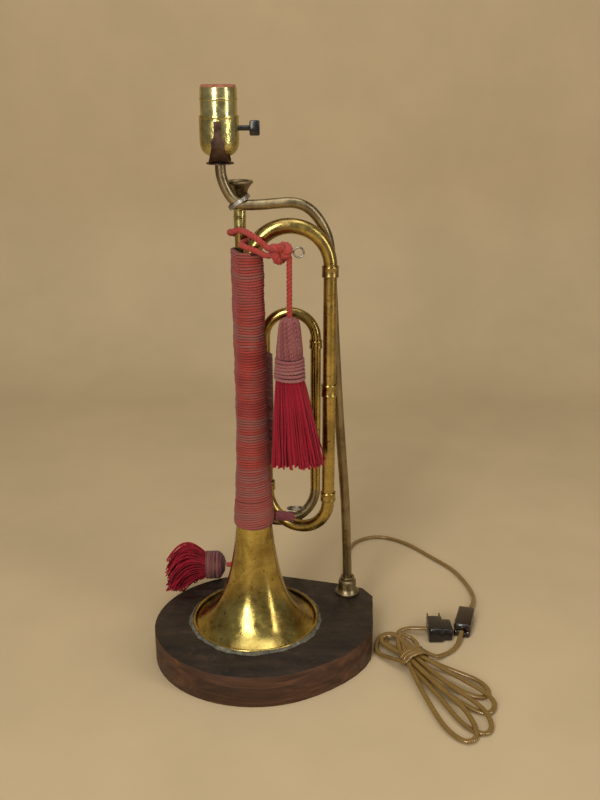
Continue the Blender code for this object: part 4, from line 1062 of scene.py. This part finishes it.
class LAMP_OT_power_cord(bpy.types.Operator):
    """Make the lamp cord, its inline switch and its plug"""
    bl_idname = "lamp.power_cord"
    bl_label = "Power Cord"

    def execute(self, context):
        vinyl = finish("clear_gold_cord", vinyl_cord)
        halves = finish("switch_plastic", brown_plastic)
        switch = [keep_copy(node, LAMP, halves, "brown_plastic")
                  for node in ("switch_base_half", "switch_top_half")]
        switch.append(keep_copy("switch_wheel", "thumb_wheel", finish("wheel_plastic", black_plastic),
                                "brown_plastic"))
        plug = [keep_copy("plug_body", LAMP, finish("plug_plastic", black_plastic), "black")]
        blades = finish("blade_brass", dull_brass)
        plug += [keep_copy("plug_blade_" + side, LAMP, blades, "blade") for side in ("left", "right")]
        near = smooth_path(CORD_BASE_ROUTE, 0.0040)
        self.cord("cord_to_switch", near, vinyl, CORD_BASE_ROUTE[0], "fitting", switch,
                  ["power_cord_base"])
        tie = tie_points()
        route = [Vector(p) for p in CORD_MIDDLE_ROUTE] + tie[::2]
        route += [hank_place(*p) for p in HANK_FOLDS] + [Vector(p) for p in CORD_PLUG_ROUTE]
        far = smooth_path(route, 0.0032)
        self.cord("cord_to_plug", far, vinyl, CORD_MIDDLE_ROUTE[0], "plug", plug,
                  ["power_cord_middle", "cord_hank", "power_cord_plug"])
        return {"FINISHED"}

    def cord(self, name, points, vinyl, start, far_end, pieces, nodes):
        item = sweep(name, points, twin_section, level=True, uv=True)
        keep(item, LAMP, vinyl, *nodes, slot="gold_cord")


class LAMP_OT_base(bpy.types.Operator):
    """Finish the wooden base and the putty ring under the bell"""
    bl_idname = "lamp.base"
    bl_label = "Wooden Base"

    def execute(self, context):
        keep_copy("wood_base", LAMP, finish("dark_worn_wood", worn_wood), "dark_wood")
        inside = RIM_RADIUS + 0.0034
        low = BELL_LOW + 0.0001

        def uneven(angle, radius, _):
            if radius < inside + 0.001:
                return 0.0
            slow = 0.0007 * math.sin(5 * angle + 1) + 0.0005 * math.sin(13 * angle)
            return slow + 0.0003 * math.sin(31 * angle + 2)

        ring = lathe("putty_ring", [(inside, low + 0.0022), (inside + 0.0011, low + 0.0017),
                                    (inside + 0.0030, low), (inside, low)], segments=160, wobble=uneven)
        keep(ring, LAMP, finish("grey_putty", putty), "bedding_ring", slot="putty")
        return {"FINISHED"}


class LAMP_OT_bell(bpy.types.Operator):
    """Make the bell and its rim wire"""
    bl_idname = "lamp.bell"
    bl_label = "Bell"

    def execute(self, context):
        rows = 46
        heights = [BELL_LOW + (BELL_TOP - BELL_LOW) * (1 - i / rows) ** 2.2 for i in range(rows + 1)]
        outer = [(bell_radius(z), z) for z in heights]
        inner = [(radius - BELL_WALL, z) for radius, z in reversed(outer)]

        def dents(angle, _, height):
            """Shallow knocks low on the flare."""
            near = math.exp(-((height - 0.058) / 0.022) ** 2)
            return near * (0.0004 * math.sin(3 * angle + 1.1) + 0.0003 * math.sin(7 * angle))

        metal = finish("bell_brass", bell_brass)
        keep(lathe("bell_horn", outer + inner, segments=160, wobble=dents), LAMP, metal, "bell",
             "bell_tube", slot="bell_brass")
        centre = RIM_RADIUS + GAP + RIM_WIRE + 0.0001
        steps = 12
        angles = [-2 * math.pi * i / steps for i in range(steps)]
        rim = [(centre + RIM_WIRE * math.cos(a), BELL_LOW + RIM_WIRE + RIM_WIRE * math.sin(a))
               for a in angles]
        keep(lathe("bell_rim_wire", rim, segments=160), LAMP, metal, "bell_rim", slot="bell_brass")
        return {"FINISHED"}


class LAMP_OT_tubing(bpy.types.Operator):
    """Make the bows, legs and ferrules of the bugle"""
    bl_idname = "lamp.tubing"
    bl_label = "Tubing"

    def execute(self, context):
        metal, dull = finish("tube_brass", tube_brass), finish("dull_brass", dull_brass)
        top = bow_points((0, 0, BOW_Z), (BOW_SPAN, 0, BOW_Z), 1)
        self.tube("top_bow", top, self.taper(top, BELL_SIDE_RADIUS, OUTER_RADIUS), metal, "brass")
        line = [Vector((BOW_SPAN, 0, BOW_Z + (LOW_BOW_Z - BOW_Z) * i / 12)) for i in range(13)]
        self.tube("outer_leg", line, OUTER_RADIUS, metal, "brass")
        front = bow_points((*INNER_LEFT[0], LOW_BOW_Z), (BOW_SPAN, 0, LOW_BOW_Z), -1)
        self.tube("front_bow", front, self.taper(front, SLIM_RADIUS, OUTER_RADIUS), metal, "brass")
        self.tube("small_bow", bow_points(inner_left(SMALL_BOW_Z), inner_right(SMALL_BOW_Z), 1),
                  INNER_RADIUS, metal, "brass")
        self.tube("rear_bow", bow_points(lead(LOW_BOW_Z), inner_right(LOW_BOW_Z), -1), INNER_RADIUS,
                  dull, "dull_brass")
        legs = (("inner_left_leg", inner_left, SMALL_BOW_Z), ("inner_right_leg", inner_right, SMALL_BOW_Z),
                ("leadpipe", lead, LEAD_TOP_Z))
        for name, leg, top_z in legs:
            line = [leg(LOW_BOW_Z + (top_z - LOW_BOW_Z) * i / 8) for i in range(9)]
            self.tube(name, line, INNER_RADIUS, metal, "brass")
        self.ferrules(metal)
        return {"FINISHED"}

    def taper(self, points, first, last):
        return [first + (last - first) * i / (len(points) - 1) for i in range(len(points))]

    def tube(self, node, points, radius, metal, slot):
        keep(sweep(node + "_tube", points, round_section(radius)), LAMP, metal, node, slot=slot)

    def ferrules(self, metal):
        """Short sleeves with a bead and rolled ends."""
        rise = inner_left(LOW_BOW_Z + 0.1) - inner_left(LOW_BOW_Z)
        lean = inner_right(SMALL_BOW_Z) - inner_right(LOW_BOW_Z)
        up = Vector((0, 0, 1))
        end = bell_radius(BOW_Z)
        plan = (("bell_ferrule", end + 0.0002, (0, 0, BOW_Z - 0.003), up, 0.010),
                ("top_bow_ferrule", OUTER_RADIUS + FERRULE_LIP, (BOW_SPAN, 0, BOW_Z - 0.0035), up, 0.010),
                ("outer_leg_ferrule", OUTER_RADIUS, (BOW_SPAN, 0, OUTER_JOINT_Z), up, 0.012),
                ("front_bow_ferrule_outer", OUTER_RADIUS, (BOW_SPAN, 0, LOW_BOW_Z + 0.005), up, 0.009),
                ("front_bow_ferrule_inner", SLIM_RADIUS, inner_left(LOW_BOW_Z + 0.005), rise, 0.009),
                ("small_bow_ferrule", INNER_RADIUS, inner_right(SMALL_BOW_Z - 0.005), lean, 0.008))
        for node, radius, centre, along, length in plan:
            inner, outer, half = radius + 0.0002, radius + 0.0013, length / 2
            profile = [(outer - 0.0003, half), (outer, half - 0.0004), (outer, half - 0.0016),
                       (outer - 0.0002, half - 0.0020), (outer - 0.0002, -half + 0.0020),
                       (outer, -half + 0.0016), (outer, -half + 0.0004), (outer - 0.0003, -half),
                       (inner, -half), (inner, half)]
            keep(lathe(node + "_sleeve", profile, centre, along, 64), LAMP, metal, node, slot="brass")


class LAMP_OT_mouthpiece(bpy.types.Operator):
    """Make the mouthpiece, its receiver and the wire that binds it to the lamp pipe"""
    bl_idname = "lamp.mouthpiece"
    bl_label = "Mouthpiece"

    def execute(self, context):
        at = (*LEAD[1], 0)
        low = LEAD_TOP_Z + GAP
        top = low + RECEIVER_LENGTH
        band, body = RECEIVER_BAND, RECEIVER_RADIUS
        receiver = [(band - 0.0004, top), (band, top - 0.0004), (band, top - 0.0014),
                    (body, top - 0.0022), (body, top - 0.0070), (band - 0.0008, top - 0.0076),
                    (band - 0.0008, top - 0.0084), (body, top - 0.0090), (body, low), (INNER_RADIUS, low),
                    (INNER_RADIUS, top)]
        keep(lathe("receiver", receiver, at), LAMP, finish("socket_brass", socket_brass),
             "mouthpiece_receiver", slot="brass")
        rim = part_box("mouthpiece")[1][2]
        cup = rim - CUP_DEPTH
        foot = top - SHANK_IN_RECEIVER
        profile = [(0.0113, rim), (0.0121, rim - 0.0002), (0.0128, rim - 0.0010), (0.0127, rim - 0.0018),
                   (0.0118, rim - 0.0027), (0.0098, rim - 0.0048), (0.0086, rim - 0.0068),
                   (0.0074, rim - 0.0100), (0.0064, cup - 0.0005), (0.0053, cup - 0.0035),
                   (SHANK_RADIUS, cup - 0.0070), (SHANK_RADIUS, foot), (0.0033, foot),
                   (0.0021, cup - 0.004), (0.0025, cup), (0.0045, rim - 0.0115), (0.0062, rim - 0.0085),
                   (0.0080, rim - 0.0045), (0.0090, rim - 0.0012), (0.0100, rim - 0.0002)]
        keep(lathe("mouthpiece_cup", profile, at), LAMP, finish("old_mouthpiece_brass", dull_brass),
             "mouthpiece", slot="dull_brass")
        self.binding()
        return {"FINISHED"}

    def binding(self):
        """Turns of wire drawn slantwise round the pipe and the mouthpiece's shank."""
        low, high, centre = span("pipe_binding")
        half = (high - low) / 2
        slant = math.atan2(half.z, half.x)
        reach = math.hypot(half.x, half.z) - 0.0009
        turns, steps = 5, 48
        path = []
        for i in range(turns * steps + 1):
            angle = 2 * math.pi * i / steps
            c, d = math.cos(angle), math.sin(angle)
            along = math.copysign(abs(c) ** 0.7, c) * reach
            beside = 0.0016 * (i / (turns * steps) * 2 - 1) + 0.0003 * math.sin(3 * angle)
            path.append(centre + Vector((along * math.cos(slant) - beside * math.sin(slant),
                                         math.copysign(abs(d) ** 0.7, d) * (half.y - 0.0008),
                                         along * math.sin(slant) + beside * math.cos(slant))))
        wire = finish("binding_wire", steel)
        keep(strands("binding_turns", [path], 0.00055, wire, 8, 0.0, 4), LAMP, wire, "pipe_binding",
             slot="wire")


class LAMP_OT_wraps(bpy.types.Operator):
    """Wind the cord round the bell tube, the lead pipe and the inner leg"""
    bl_idname = "lamp.wraps"
    bl_label = "Cord Wraps"

    def execute(self, context):
        pitch = context.scene.lamp_yarn.pitch
        red, plum = finish("red_wrapped_cord", red_yarn), finish("plum_cord", plum_yarn)
        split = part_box("main_cord_wrap")[0][2]
        self.wrap("lower_wrap", WRAP_LOW_Z, split + 0.0006, pitch, red, "lower_cord_wrap", 11)
        self.wrap("upper_wrap", split - 0.0008, WRAP_TOP_Z + WRAP_ABOVE_FRAME, pitch, red,
                  "main_cord_wrap", 12)
        self.inner_wrap(pitch, plum)
        self.end_cord()
        self.rings()
        return {"FINISHED"}

    def wrap(self, name, low, high, pitch, material, node, seed):
        """Helix of touching turns over a plain core, a little slanted low down."""
        radius = pitch * 0.475
        steps = 44
        turns = (high - low) / pitch
        pick = random.Random(seed)
        waves = [pick.uniform(0, 2 * math.pi) for _ in range(4)]
        paths, shades, path = [], [], []
        stretch = steps
        for i in range(round(turns * steps) + 1):
            angle = 2 * math.pi * i / steps
            z = low + radius * 0.9 + (high - low - 1.8 * radius) * i / (turns * steps)
            slant = 0.0016 * max(0.0, 1 - (z - WRAP_LOW_Z) / 0.11)
            bulge = 0.0003 * math.sin(z * 190 + waves[0]) + 0.0002 * math.sin(z * 700 + waves[1])
            point = wrap_point(angle, z, radius - bulge)
            point.z += slant * math.cos(angle) * min(1.0, (z - low) / 0.006)
            point.z += 0.00025 * math.sin(3 * angle + waves[2] + z * 160)
            path.append(point)
            if len(path) > stretch:
                paths.append(path)
                path = [path[-1]]
                stretch = pick.randint(steps // 4, steps * 5 // 4)
        if len(path) > 1:
            paths.append(path)
        tone = 0.5
        for _ in paths:
            tone = min(0.98, max(0.16, tone + pick.uniform(-0.45, 0.47)))
            shades.append(tone)
        turns_piece = strands(name + "_turns", paths, radius, material, 8, 0.05, seed, shades)
        core = self.core(name + "_core", low + 0.0004, high - 0.0004, radius * 1.5)
        item = join(name, turns_piece, core)
        keep(item, LAMP, material, node, slot="red_cord")

    def core(self, name, low, high, inset):
        """Plain sleeve just under the turns, which closes the gaps between them and shows there the yarn's
        darkest colour as painted shade.
        """
        work = bmesh.new()
        rows, count = 24, 64
        rings = []
        for row in range(rows + 1):
            z = low + (high - low) * row / rows
            rings.append([work.verts.new(wrap_point(2 * math.pi * i / count, z, inset))
                          for i in range(count)])
        for row in range(rows, -1, -1):
            z = low + (high - low) * row / rows
            depth = wrap_outside(z) - 0.0009
            rings.append([work.verts.new(wrap_point(2 * math.pi * i / count, z, depth))
                          for i in range(count)])
        for a, b in zip(rings, rings[1:] + rings[:1]):
            for i in range(count):
                work.faces.new((a[i], a[(i + 1) % count], b[(i + 1) % count], b[i]))
        return closed_mesh(name, work)

    def inner_wrap(self, pitch, material):
        low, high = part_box("inner_cord_wrap")[0][2] + 0.001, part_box("inner_cord_wrap")[1][2] - 0.001
        radius = pitch * 0.5
        steps = 24
        slope = 0.0042
        turns = (high - low) / (pitch * 1.1)
        pick = random.Random(21)
        paths, path = [], []
        for i in range(round(turns * steps) + 1):
            angle = 2 * math.pi * i / steps
            z = low + slope + (high - low - 2 * slope) * i / (turns * steps)
            centre = inner_left(z)
            path.append(centre + Vector((math.cos(angle) * 0.0060, math.sin(angle) * 0.0060,
                                         slope * math.cos(angle + 2.6))))
            if len(path) == steps + 1:
                paths.append(path)
                path = [path[-1]]
        shades = [pick.random() for _ in paths]
        item = strands("inner_wrap", paths, radius, material, 8, 0.08, 21, shades)
        keep(item, LAMP, material, "inner_cord_wrap", slot="red_cord")

    def end_cord(self):
        """Cut end of the wrapped cord, its strands opening out."""
        low, high, middle = span("wrap_end_cord")
        points = smooth_path([(low.x + 0.0006, middle.y, middle.z + 0.0006),
                              (middle.x, middle.y - 0.0004, middle.z + 0.0002),
                              (high.x - 0.0006, middle.y, middle.z - 0.0006)], 0.0012)
        paths = laid_strands(points, 6, 0.0052, 0.040, 0.58) + laid_strands(points, 3, 0.0052, 0.040, 0.2)
        material = finish("plum_cord", plum_yarn)
        item = strands("cut_cord_end", paths, 0.0020, material, 10, 0.12, 9)
        keep(item, LAMP, material, "wrap_end_cord", slot="red_cord")

    def rings(self):
        """Double wire ring by the low bow and the small ring at the knot."""
        wire = finish("grey_wire", steel)
        turns, steps = 2, 40
        for node, degrees in (("lower_ring", -16), ("knot_ring", 90)):
            low, high, centre = span(node)
            radius = (high.x - low.x) / 2 - 0.0007
            tilt = Matrix.Rotation(math.radians(degrees), 3, "X")
            path = []
            for i in range(turns * steps):
                angle = 2 * math.pi * i / steps
                lift = 0.0006 * (i / steps - turns / 2)
                flat = Vector((radius * math.cos(angle), radius * math.sin(angle), lift))
                path.append(centre + tilt @ flat)
            item = strands(node + "_wire", [path], 0.0008, wire, 10, 0.0, 2)
            keep(item, LAMP, wire, node, slot="wire")


class LAMP_OT_tassel_cords(bpy.types.Operator):
    """Make the rope over the top bow, its knot, and the cords of both tassels"""
    bl_idname = "lamp.tassel_cords"
    bl_label = "Tassel Cords"

    def execute(self, context):
        rose = finish("rose_rope", rose_yarn)
        loop = rope("rope_loop", smooth_path(LOOP_ROUTE, 0.0011), ROPE_RADIUS, rose)
        keep(loop, LAMP, rose, "cord_loop", slot="red_cord")
        self.knot(rose)
        low, high, middle = span("tassel_cord")
        line = [Vector((middle.x, middle.y, low.z + (high.z + 0.0055 - low.z) * i / 50)) for i in range(51)]
        keep(rope("tassel_rope", line, 0.0026, rose), TASSEL, rose, "tassel_cord", slot="red_cord")
        rear = rope("rear_rope", smooth_path(REAR_CORD_ROUTE, 0.0012), 0.00265, rose)
        keep(rear, LAMP, rose, "rear_tassel_cord", slot="red_cord")
        return {"FINISHED"}

    def knot(self, rose):
        """Rope drawn into a tight three-lobed knot round a small core."""
        low, high, centre = span("cord_knot")
        half = (high - low) / 2
        room = half - Vector((0.0026, 0.0022, 0.0026))
        steps = 130
        points = []
        for i in range(steps + 1):
            t = 2 * math.pi * i / steps
            points.append(centre + Vector((room.x * (math.sin(t) + 2 * math.sin(2 * t)) / 3,
                                           room.y * -math.sin(3 * t),
                                           room.z * (math.cos(t) - 2 * math.cos(2 * t)) / 3)))
        turns = rope("knot_turns", points, KNOT_ROPE_RADIUS, rose)
        core = lathe("knot_core", [(0, half.z * 0.80)] + [
            (half.x * 0.74 * math.sin(math.pi * i / 12), half.z * 0.80 * math.cos(math.pi * i / 12))
            for i in range(1, 12)] + [(0, -half.z * 0.80)], (0, 0, 0), segments=40)
        core.data.transform(placing(centre, (1.0, half.y / half.x, 1.0)))
        keep(join("rope_knot", turns, core), LAMP, rose, "cord_knot", slot="red_cord")


class LAMP_OT_tassels(bpy.types.Operator):
    """Make the heads, bands and hanging strands of both tassels"""
    bl_idname = "lamp.tassels"
    bl_label = "Tassels"

    def execute(self, context):
        self.front_head()
        self.front_bands()
        self.front_skirt(context.scene.lamp_tassel)
        self.rear_head()
        self.rear_skirt(context.scene.lamp_tassel)
        return {"FINISHED"}

    def front_head(self):
        """Yarns laid down over a cone, drawn in at the top."""
        low, high, centre = span("tassel_head")
        tall = high.z - low.z
        profile = [(0.0022, 0.0), (0.0055, 0.018), (0.0080, 0.09), (0.0092, 0.26), (0.0103, 0.55),
                   (0.0113, 0.82), (0.0113, 1.0)]
        paths = []
        count = 46
        for k in range(count):
            angle = 2 * math.pi * k / count
            line = [(centre.x + r * math.cos(angle + 0.35 * d), centre.y + r * math.sin(angle + 0.35 * d),
                     high.z - tall * d) for r, d in profile]
            paths += laid_strands(smooth_path(line, 0.0011), 2, 0.0010, 0.0042, 0.6)
        mauve = finish("mauve_cord", mauve_yarn)
        yarns = strands("head_yarns", paths, 0.00062, mauve, 6, 0.1, 31)
        core = lathe("head_core", [(0, high.z - 0.0004)] + [
            (r - 0.0003, high.z - tall * d) for r, d in profile[1:]] + [(0, low.z)],
            (centre.x, centre.y, 0), segments=48)
        keep(join("tassel_head_yarn", yarns, core), TASSEL, mauve, "tassel_head", slot="red_cord")

    def front_bands(self):
        """Cord wound in six bands round the neck."""
        low, high, centre = span("tassel_bands")
        mauve = finish("mauve_cord", mauve_yarn)
        rows = 6
        thick = (high.z - low.z) / rows / 2
        pick = random.Random(5)
        paths, shades = [], []
        for row in range(rows):
            z = high.z - (high.z - low.z) * (row + 0.5) / rows
            reach = 0.0120 + 0.0014 * row / rows
            middle = Vector((centre.x, centre.y, z))
            ring = ring_points(middle, reach, 96, lambda c, d, a: (c, d, 0.0005 * math.sin(a + row)))
            paths += laid_strands(ring, 2, thick, 0.0055, 0.42)
            shades += [pick.uniform(0.3, 1.0)] * 2
        yarns = strands("band_yarns", paths, thick * 0.62, mauve, 8, 0.05, 5, shades)
        core = lathe("band_core", [(0, high.z), (0.0115, high.z - 0.0002), (0.0125, low.z + 0.0002),
                                   (0, low.z)], (centre.x, centre.y, 0), segments=48)
        keep(join("tassel_band_yarn", yarns, core), TASSEL, mauve, "tassel_bands", slot="red_cord")

    def front_skirt(self, settings):
        """Strands that fall and spread from the last band, flattened front to back."""
        low, high, _ = span("tassel_skirt")
        _, _, centre = span("tassel_cord")
        pick = random.Random(settings.seed)
        deep = (high.y - low.y) / 2
        paths = []
        for k in range(settings.strands):
            angle = 2 * math.pi * (k * STRAND_TURN)
            share = math.sqrt((k + 0.5) / settings.strands)
            drop = high.z - low.z - pick.uniform(0.0, 0.007)
            sway, phase = pick.uniform(-0.0012, 0.0012), pick.uniform(0, 6.28)
            line = []
            for i in range(13):
                d = i / 12
                spread = NECK_RADIUS + (SKIRT_RADIUS - NECK_RADIUS) * d ** 0.9
                flat = NECK_RADIUS + (deep - 0.0018 - NECK_RADIUS) * d
                x = centre.x + SKIRT_SHIFT * d + share * spread * math.cos(angle)
                y = centre.y + share * flat * math.sin(angle)
                x += sway * math.sin(2.2 * d * math.pi + phase) * d
                y += sway * math.cos(1.7 * d * math.pi + phase) * d
                line.append((x, y, high.z + 0.0004 - drop * d))
            paths += laid_strands(smooth_path(line, 0.0022), 2, settings.strand_radius, 0.0044, 0.60)
        crimson = finish("crimson_strands", crimson_yarn)
        shades = pair_shades(random.Random(8), settings.strands)
        item = strands("tassel_strands", paths, settings.strand_radius * 0.66, crimson, 5, 0.05, 8, shades)
        keep(item, TASSEL, crimson, "tassel_skirt", slot="crimson")

    def rear_head(self):
        """Banded head lying on its side, its cord end to the right."""
        low, high, centre = span("rear_tassel_head")
        full = (high.z - low.z) / 2 - 0.0009
        rows = 11
        paths = []
        for row in range(rows):
            share = (row + 0.5) / rows
            x = high.x - 0.0010 - (high.x - low.x - 0.0016) * share
            reach = full * min(1.0, math.sin(min(1.0, share * 2.6) * math.pi / 2) ** 0.7)
            middle = Vector((x, centre.y, centre.z))
            paths.append(ring_points(middle, reach, 48,
                                     lambda c, d, a: (0.0005 * math.sin(a + row), c, d)))
        plum = finish("plum_cord", plum_yarn)
        back = low.x - high.x + 0.0003
        yarns = strands("rear_head_yarns", paths, 0.00125, plum, 8, 0.08, 15)
        core = lathe("rear_head_core", [(0, -0.0008), (full * 0.50, -0.0015), (full * 0.88, -0.0050),
                                        (full * 0.985, -0.0085), (full * 0.985, back), (0, back)],
                     (high.x, centre.y, centre.z), (1, 0, 0), 48)
        keep(join("rear_head_yarn", yarns, core), LAMP, plum, "rear_tassel_head", slot="red_cord")

    def rear_skirt(self, settings):
        """Strands fanning out behind the base's left edge and drooping at their tips."""
        low, high, _ = span("rear_tassel_skirt")
        _, _, start = span("rear_tassel_head")
        start.x = high.x
        pick = random.Random(settings.seed + 1)
        paths = []
        for k in range(settings.strands):
            angle = 2 * math.pi * (k * STRAND_TURN)
            share = math.sqrt((k + 0.5) / settings.strands)
            reach = REAR_REACH + pick.uniform(-0.010, 0.003)
            bend = pick.uniform(-0.004, 0.004)
            rise = 0.010 * math.sin(angle) * share + 0.006
            line = []
            for i in range(10):
                d = i / 9
                spread = REAR_NECK_RADIUS + (REAR_SKIRT_RADIUS - REAR_NECK_RADIUS) * d ** 0.7
                y = start.y - 0.0125 * d ** 1.4 + share * spread * math.cos(angle)
                z = start.z + share * spread * math.sin(angle)
                z += rise * math.sin(2.2 * d) - 0.021 * d * d
                y += bend * math.sin(math.pi * d)
                z = max(z, BASE_TOP + 0.0015) if y < 0.080 else max(z, low.z - 0.004)
                line.append((start.x + 0.0004 - reach * d ** 0.9, y, z))
            paths += laid_strands(smooth_path(line, 0.0022), 2, settings.strand_radius * 0.75, 0.005, 0.55)
        crimson = finish("crimson_strands", crimson_yarn)
        shades = pair_shades(pick, settings.strands)
        item = strands("rear_tassel_strands", paths, settings.strand_radius * 0.50, crimson, 5, 0.05, 9,
                       shades)
        keep(item, LAMP, crimson, "rear_tassel_skirt", slot="crimson")


class LAMP_OT_lamp_pipe(bpy.types.Operator):
    """Make the lamp pipe, its floor flange, and finish the nut and wiring under it"""
    bl_idname = "lamp.lamp_pipe"
    bl_label = "Lamp Pipe"

    def execute(self, context):
        dull = finish("lamp_pipe_brass", dull_brass)
        points = smooth_path(PIPE_ROUTE, 0.0035)
        keep(sweep("bent_lamp_pipe", points, round_section(PIPE_RADIUS, 28)), LAMP, dull, "lamp_pipe",
             slot="dull_brass")
        low = BASE_TOP + GAP
        top = low + FLANGE_HEIGHT
        profile = [(0.0070, top), (0.0074, top - 0.0004), (0.0074, top - 0.0036), (0.0080, top - 0.0042),
                   (0.0091, top - 0.0048), (0.0094, top - 0.0060), (0.0096, top - 0.0130),
                   (0.0104, top - 0.0152), (0.0120, top - 0.0166), (0.0129, top - 0.0175),
                   (0.0130, low + 0.0004), (0.0128, low), (PIPE_BORE, low), (PIPE_BORE, top)]
        keep(lathe("pipe_flange", profile, (*PIPE_FOOT, 0)), LAMP,
             finish("old_mouthpiece_brass", dull_brass), "floor_flange", slot="dull_brass")
        keep_copy("pipe_locknut", LAMP, finish("nut_steel", steel), "wire")
        wiring = NODES["pipe_wiring"]
        wiring.data.materials.clear()
        wiring.data.materials.append(finish("inner_wire_jacket", card))
        return {"FINISHED"}


class LAMP_OT_socket(bpy.types.Operator):
    """Make the socket's cap, shell, liner, screw shell and key, and the harp saddle"""
    bl_idname = "lamp.socket"
    bl_label = "Socket"

    def execute(self, context):
        at = (SOCKET_X, SOCKET_Y, 0)
        cap_low, cap_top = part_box("socket_cap")[0][2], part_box("socket_cap")[1][2]
        outer = CAP_RADIUS
        cap = [(outer - 0.0002, cap_top), (outer + 0.0001, cap_top - 0.0006), (outer, cap_top - 0.0020),
               (outer - 0.0003, cap_top - 0.0026), (outer, cap_top - 0.0032), (outer, cap_low + 0.0125),
               (outer - 0.0003, cap_low + 0.0095), (outer - 0.0013, cap_low + 0.0062),
               (outer - 0.0036, cap_low + 0.0032), (0.0110, cap_low + 0.0013), (0.0090, cap_low + 0.0006),
               (0.0070, cap_low), (0.0052, cap_low), (0.0052, cap_low + 0.0050), (0.0070, cap_low + 0.0050),
               (0.0078, cap_low + 0.0021), (0.0102, cap_low + 0.0023), (outer - 0.0039, cap_low + 0.0045),
               (outer - 0.0019, cap_low + 0.0083), (outer - 0.0009, cap_low + 0.0127),
               (outer - 0.0009, cap_top)]
        item = lathe("socket_cap_shell", cap, at, segments=128)
        keep(item, LAMP, finish("embossed_socket_brass", embossed_brass), "socket_cap",
             slot="socket_brass")
        self.shell(at)
        self.screw(at)
        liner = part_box("socket_liner")
        radius = (liner[1][0] - liner[0][0]) / 2
        ring = [(radius - 0.0002, liner[1][2]), (radius, liner[1][2] - 0.0003), (radius, liner[0][2]),
                (radius - 0.0008, liner[0][2]), (radius - 0.0008, liner[1][2] - 0.0002)]
        keep(lathe("card_liner", ring, at, segments=96), LAMP, finish("red_card", card),
             "socket_liner", slot="card")
        keep_copy("turn_key", "key", finish("key_plastic", black_plastic), "black", 0.0003)
        for node in ("harp_saddle", "saddle_washer"):
            keep_copy(node, LAMP, finish("dark_bronze", bronze), "bronze")
        for node, material in (("socket_body", finish("glazed_ceramic", ceramic)),
                               ("centre_contact", finish("contact_brass", socket_brass))):
            NODES[node].data.materials.clear()
            NODES[node].data.materials.append(material)
        return {"FINISHED"}

    def shell(self, at):
        low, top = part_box("socket_shell")[0][2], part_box("socket_shell")[1][2]
        radius, bead = SHELL_RADIUS, SHELL_BEAD
        bead_z = top - SHELL_BEAD_DROP
        arc = [(radius + bead * math.sin(math.pi * i / 8), bead_z + 0.0013 * math.cos(math.pi * i / 8))
               for i in range(9)]
        profile = [(radius - 0.0002, top), (radius, top - 0.0003)] + arc
        profile += [(radius, low), (radius - 0.0007, low), (radius - 0.0007, top)]
        keep(lathe("socket_outer_shell", profile, at, segments=128), LAMP,
             finish("socket_brass", socket_brass), "socket_shell", slot="socket_brass")

    def screw(self, at):
        """Rolled thread: the wall's radius follows a helix."""
        low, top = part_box("screw_shell")[0][2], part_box("screw_shell")[1][2]
        rows = 40
        minor, wall = THREAD_MINOR_RADIUS, 0.0005
        outer = [(minor + wall, low + (top - low) * (1 - i / rows)) for i in range(rows + 1)]
        inner = [(minor, z) for _, z in reversed(outer)]

        def thread(angle, _, height):
            turns = height / THREAD_PITCH
            return THREAD_DEPTH * 0.5 * (1 + math.sin(2 * math.pi * turns - angle))

        keep(lathe("screw_thread", outer + inner, at, segments=96, wobble=thread), LAMP,
             finish("thread_brass", socket_brass), "screw_shell", slot="socket_brass")


class LAMP_PT_panel(bpy.types.Panel):
    """Buttons and settings of the lamp's pieces"""
    bl_idname = "LAMP_PT_panel"
    bl_label = "Bugle Lamp"
    bl_space_type = "VIEW_3D"
    bl_region_type = "UI"
    bl_category = "Bugle Lamp"

    def draw(self, context):
        for kind in OPERATORS:
            self.layout.operator(kind.bl_idname)
        for name, kind in SETTINGS.items():
            box = self.layout.box()
            for prop in kind.__annotations__:
                box.prop(getattr(context.scene, name), prop)


OPERATORS = (LAMP_OT_stage, LAMP_OT_power_cord, LAMP_OT_base, LAMP_OT_bell, LAMP_OT_tubing,
             LAMP_OT_mouthpiece, LAMP_OT_wraps, LAMP_OT_tassel_cords, LAMP_OT_tassels,
             LAMP_OT_lamp_pipe, LAMP_OT_socket)
SETTINGS = {"lamp_yarn": YarnSettings, "lamp_tassel": TasselSettings, "lamp_brass": BrassSettings,
            "lamp_cord": CordSettings, "lamp_stage": StageSettings}


def register():
    for name, kind in SETTINGS.items():
        bpy.utils.register_class(kind)
        setattr(bpy.types.Scene, name, bpy.props.PointerProperty(type=kind))
    for kind in OPERATORS + (LAMP_PT_panel,):
        bpy.utils.register_class(kind)


def unregister():
    for kind in reversed(OPERATORS + (LAMP_PT_panel,)):
        bpy.utils.unregister_class(kind)
    for name, kind in SETTINGS.items():
        delattr(bpy.types.Scene, name)
        bpy.utils.unregister_class(kind)


def main():
    """Build everything in order."""
    register()
    for kind in OPERATORS:
        group, name = kind.bl_idname.split(".")
        if getattr(getattr(bpy.ops, group), name)() != {"FINISHED"}:
            raise RuntimeError(kind.bl_label + " was not finished")


if __name__ == "__main__":
    main()
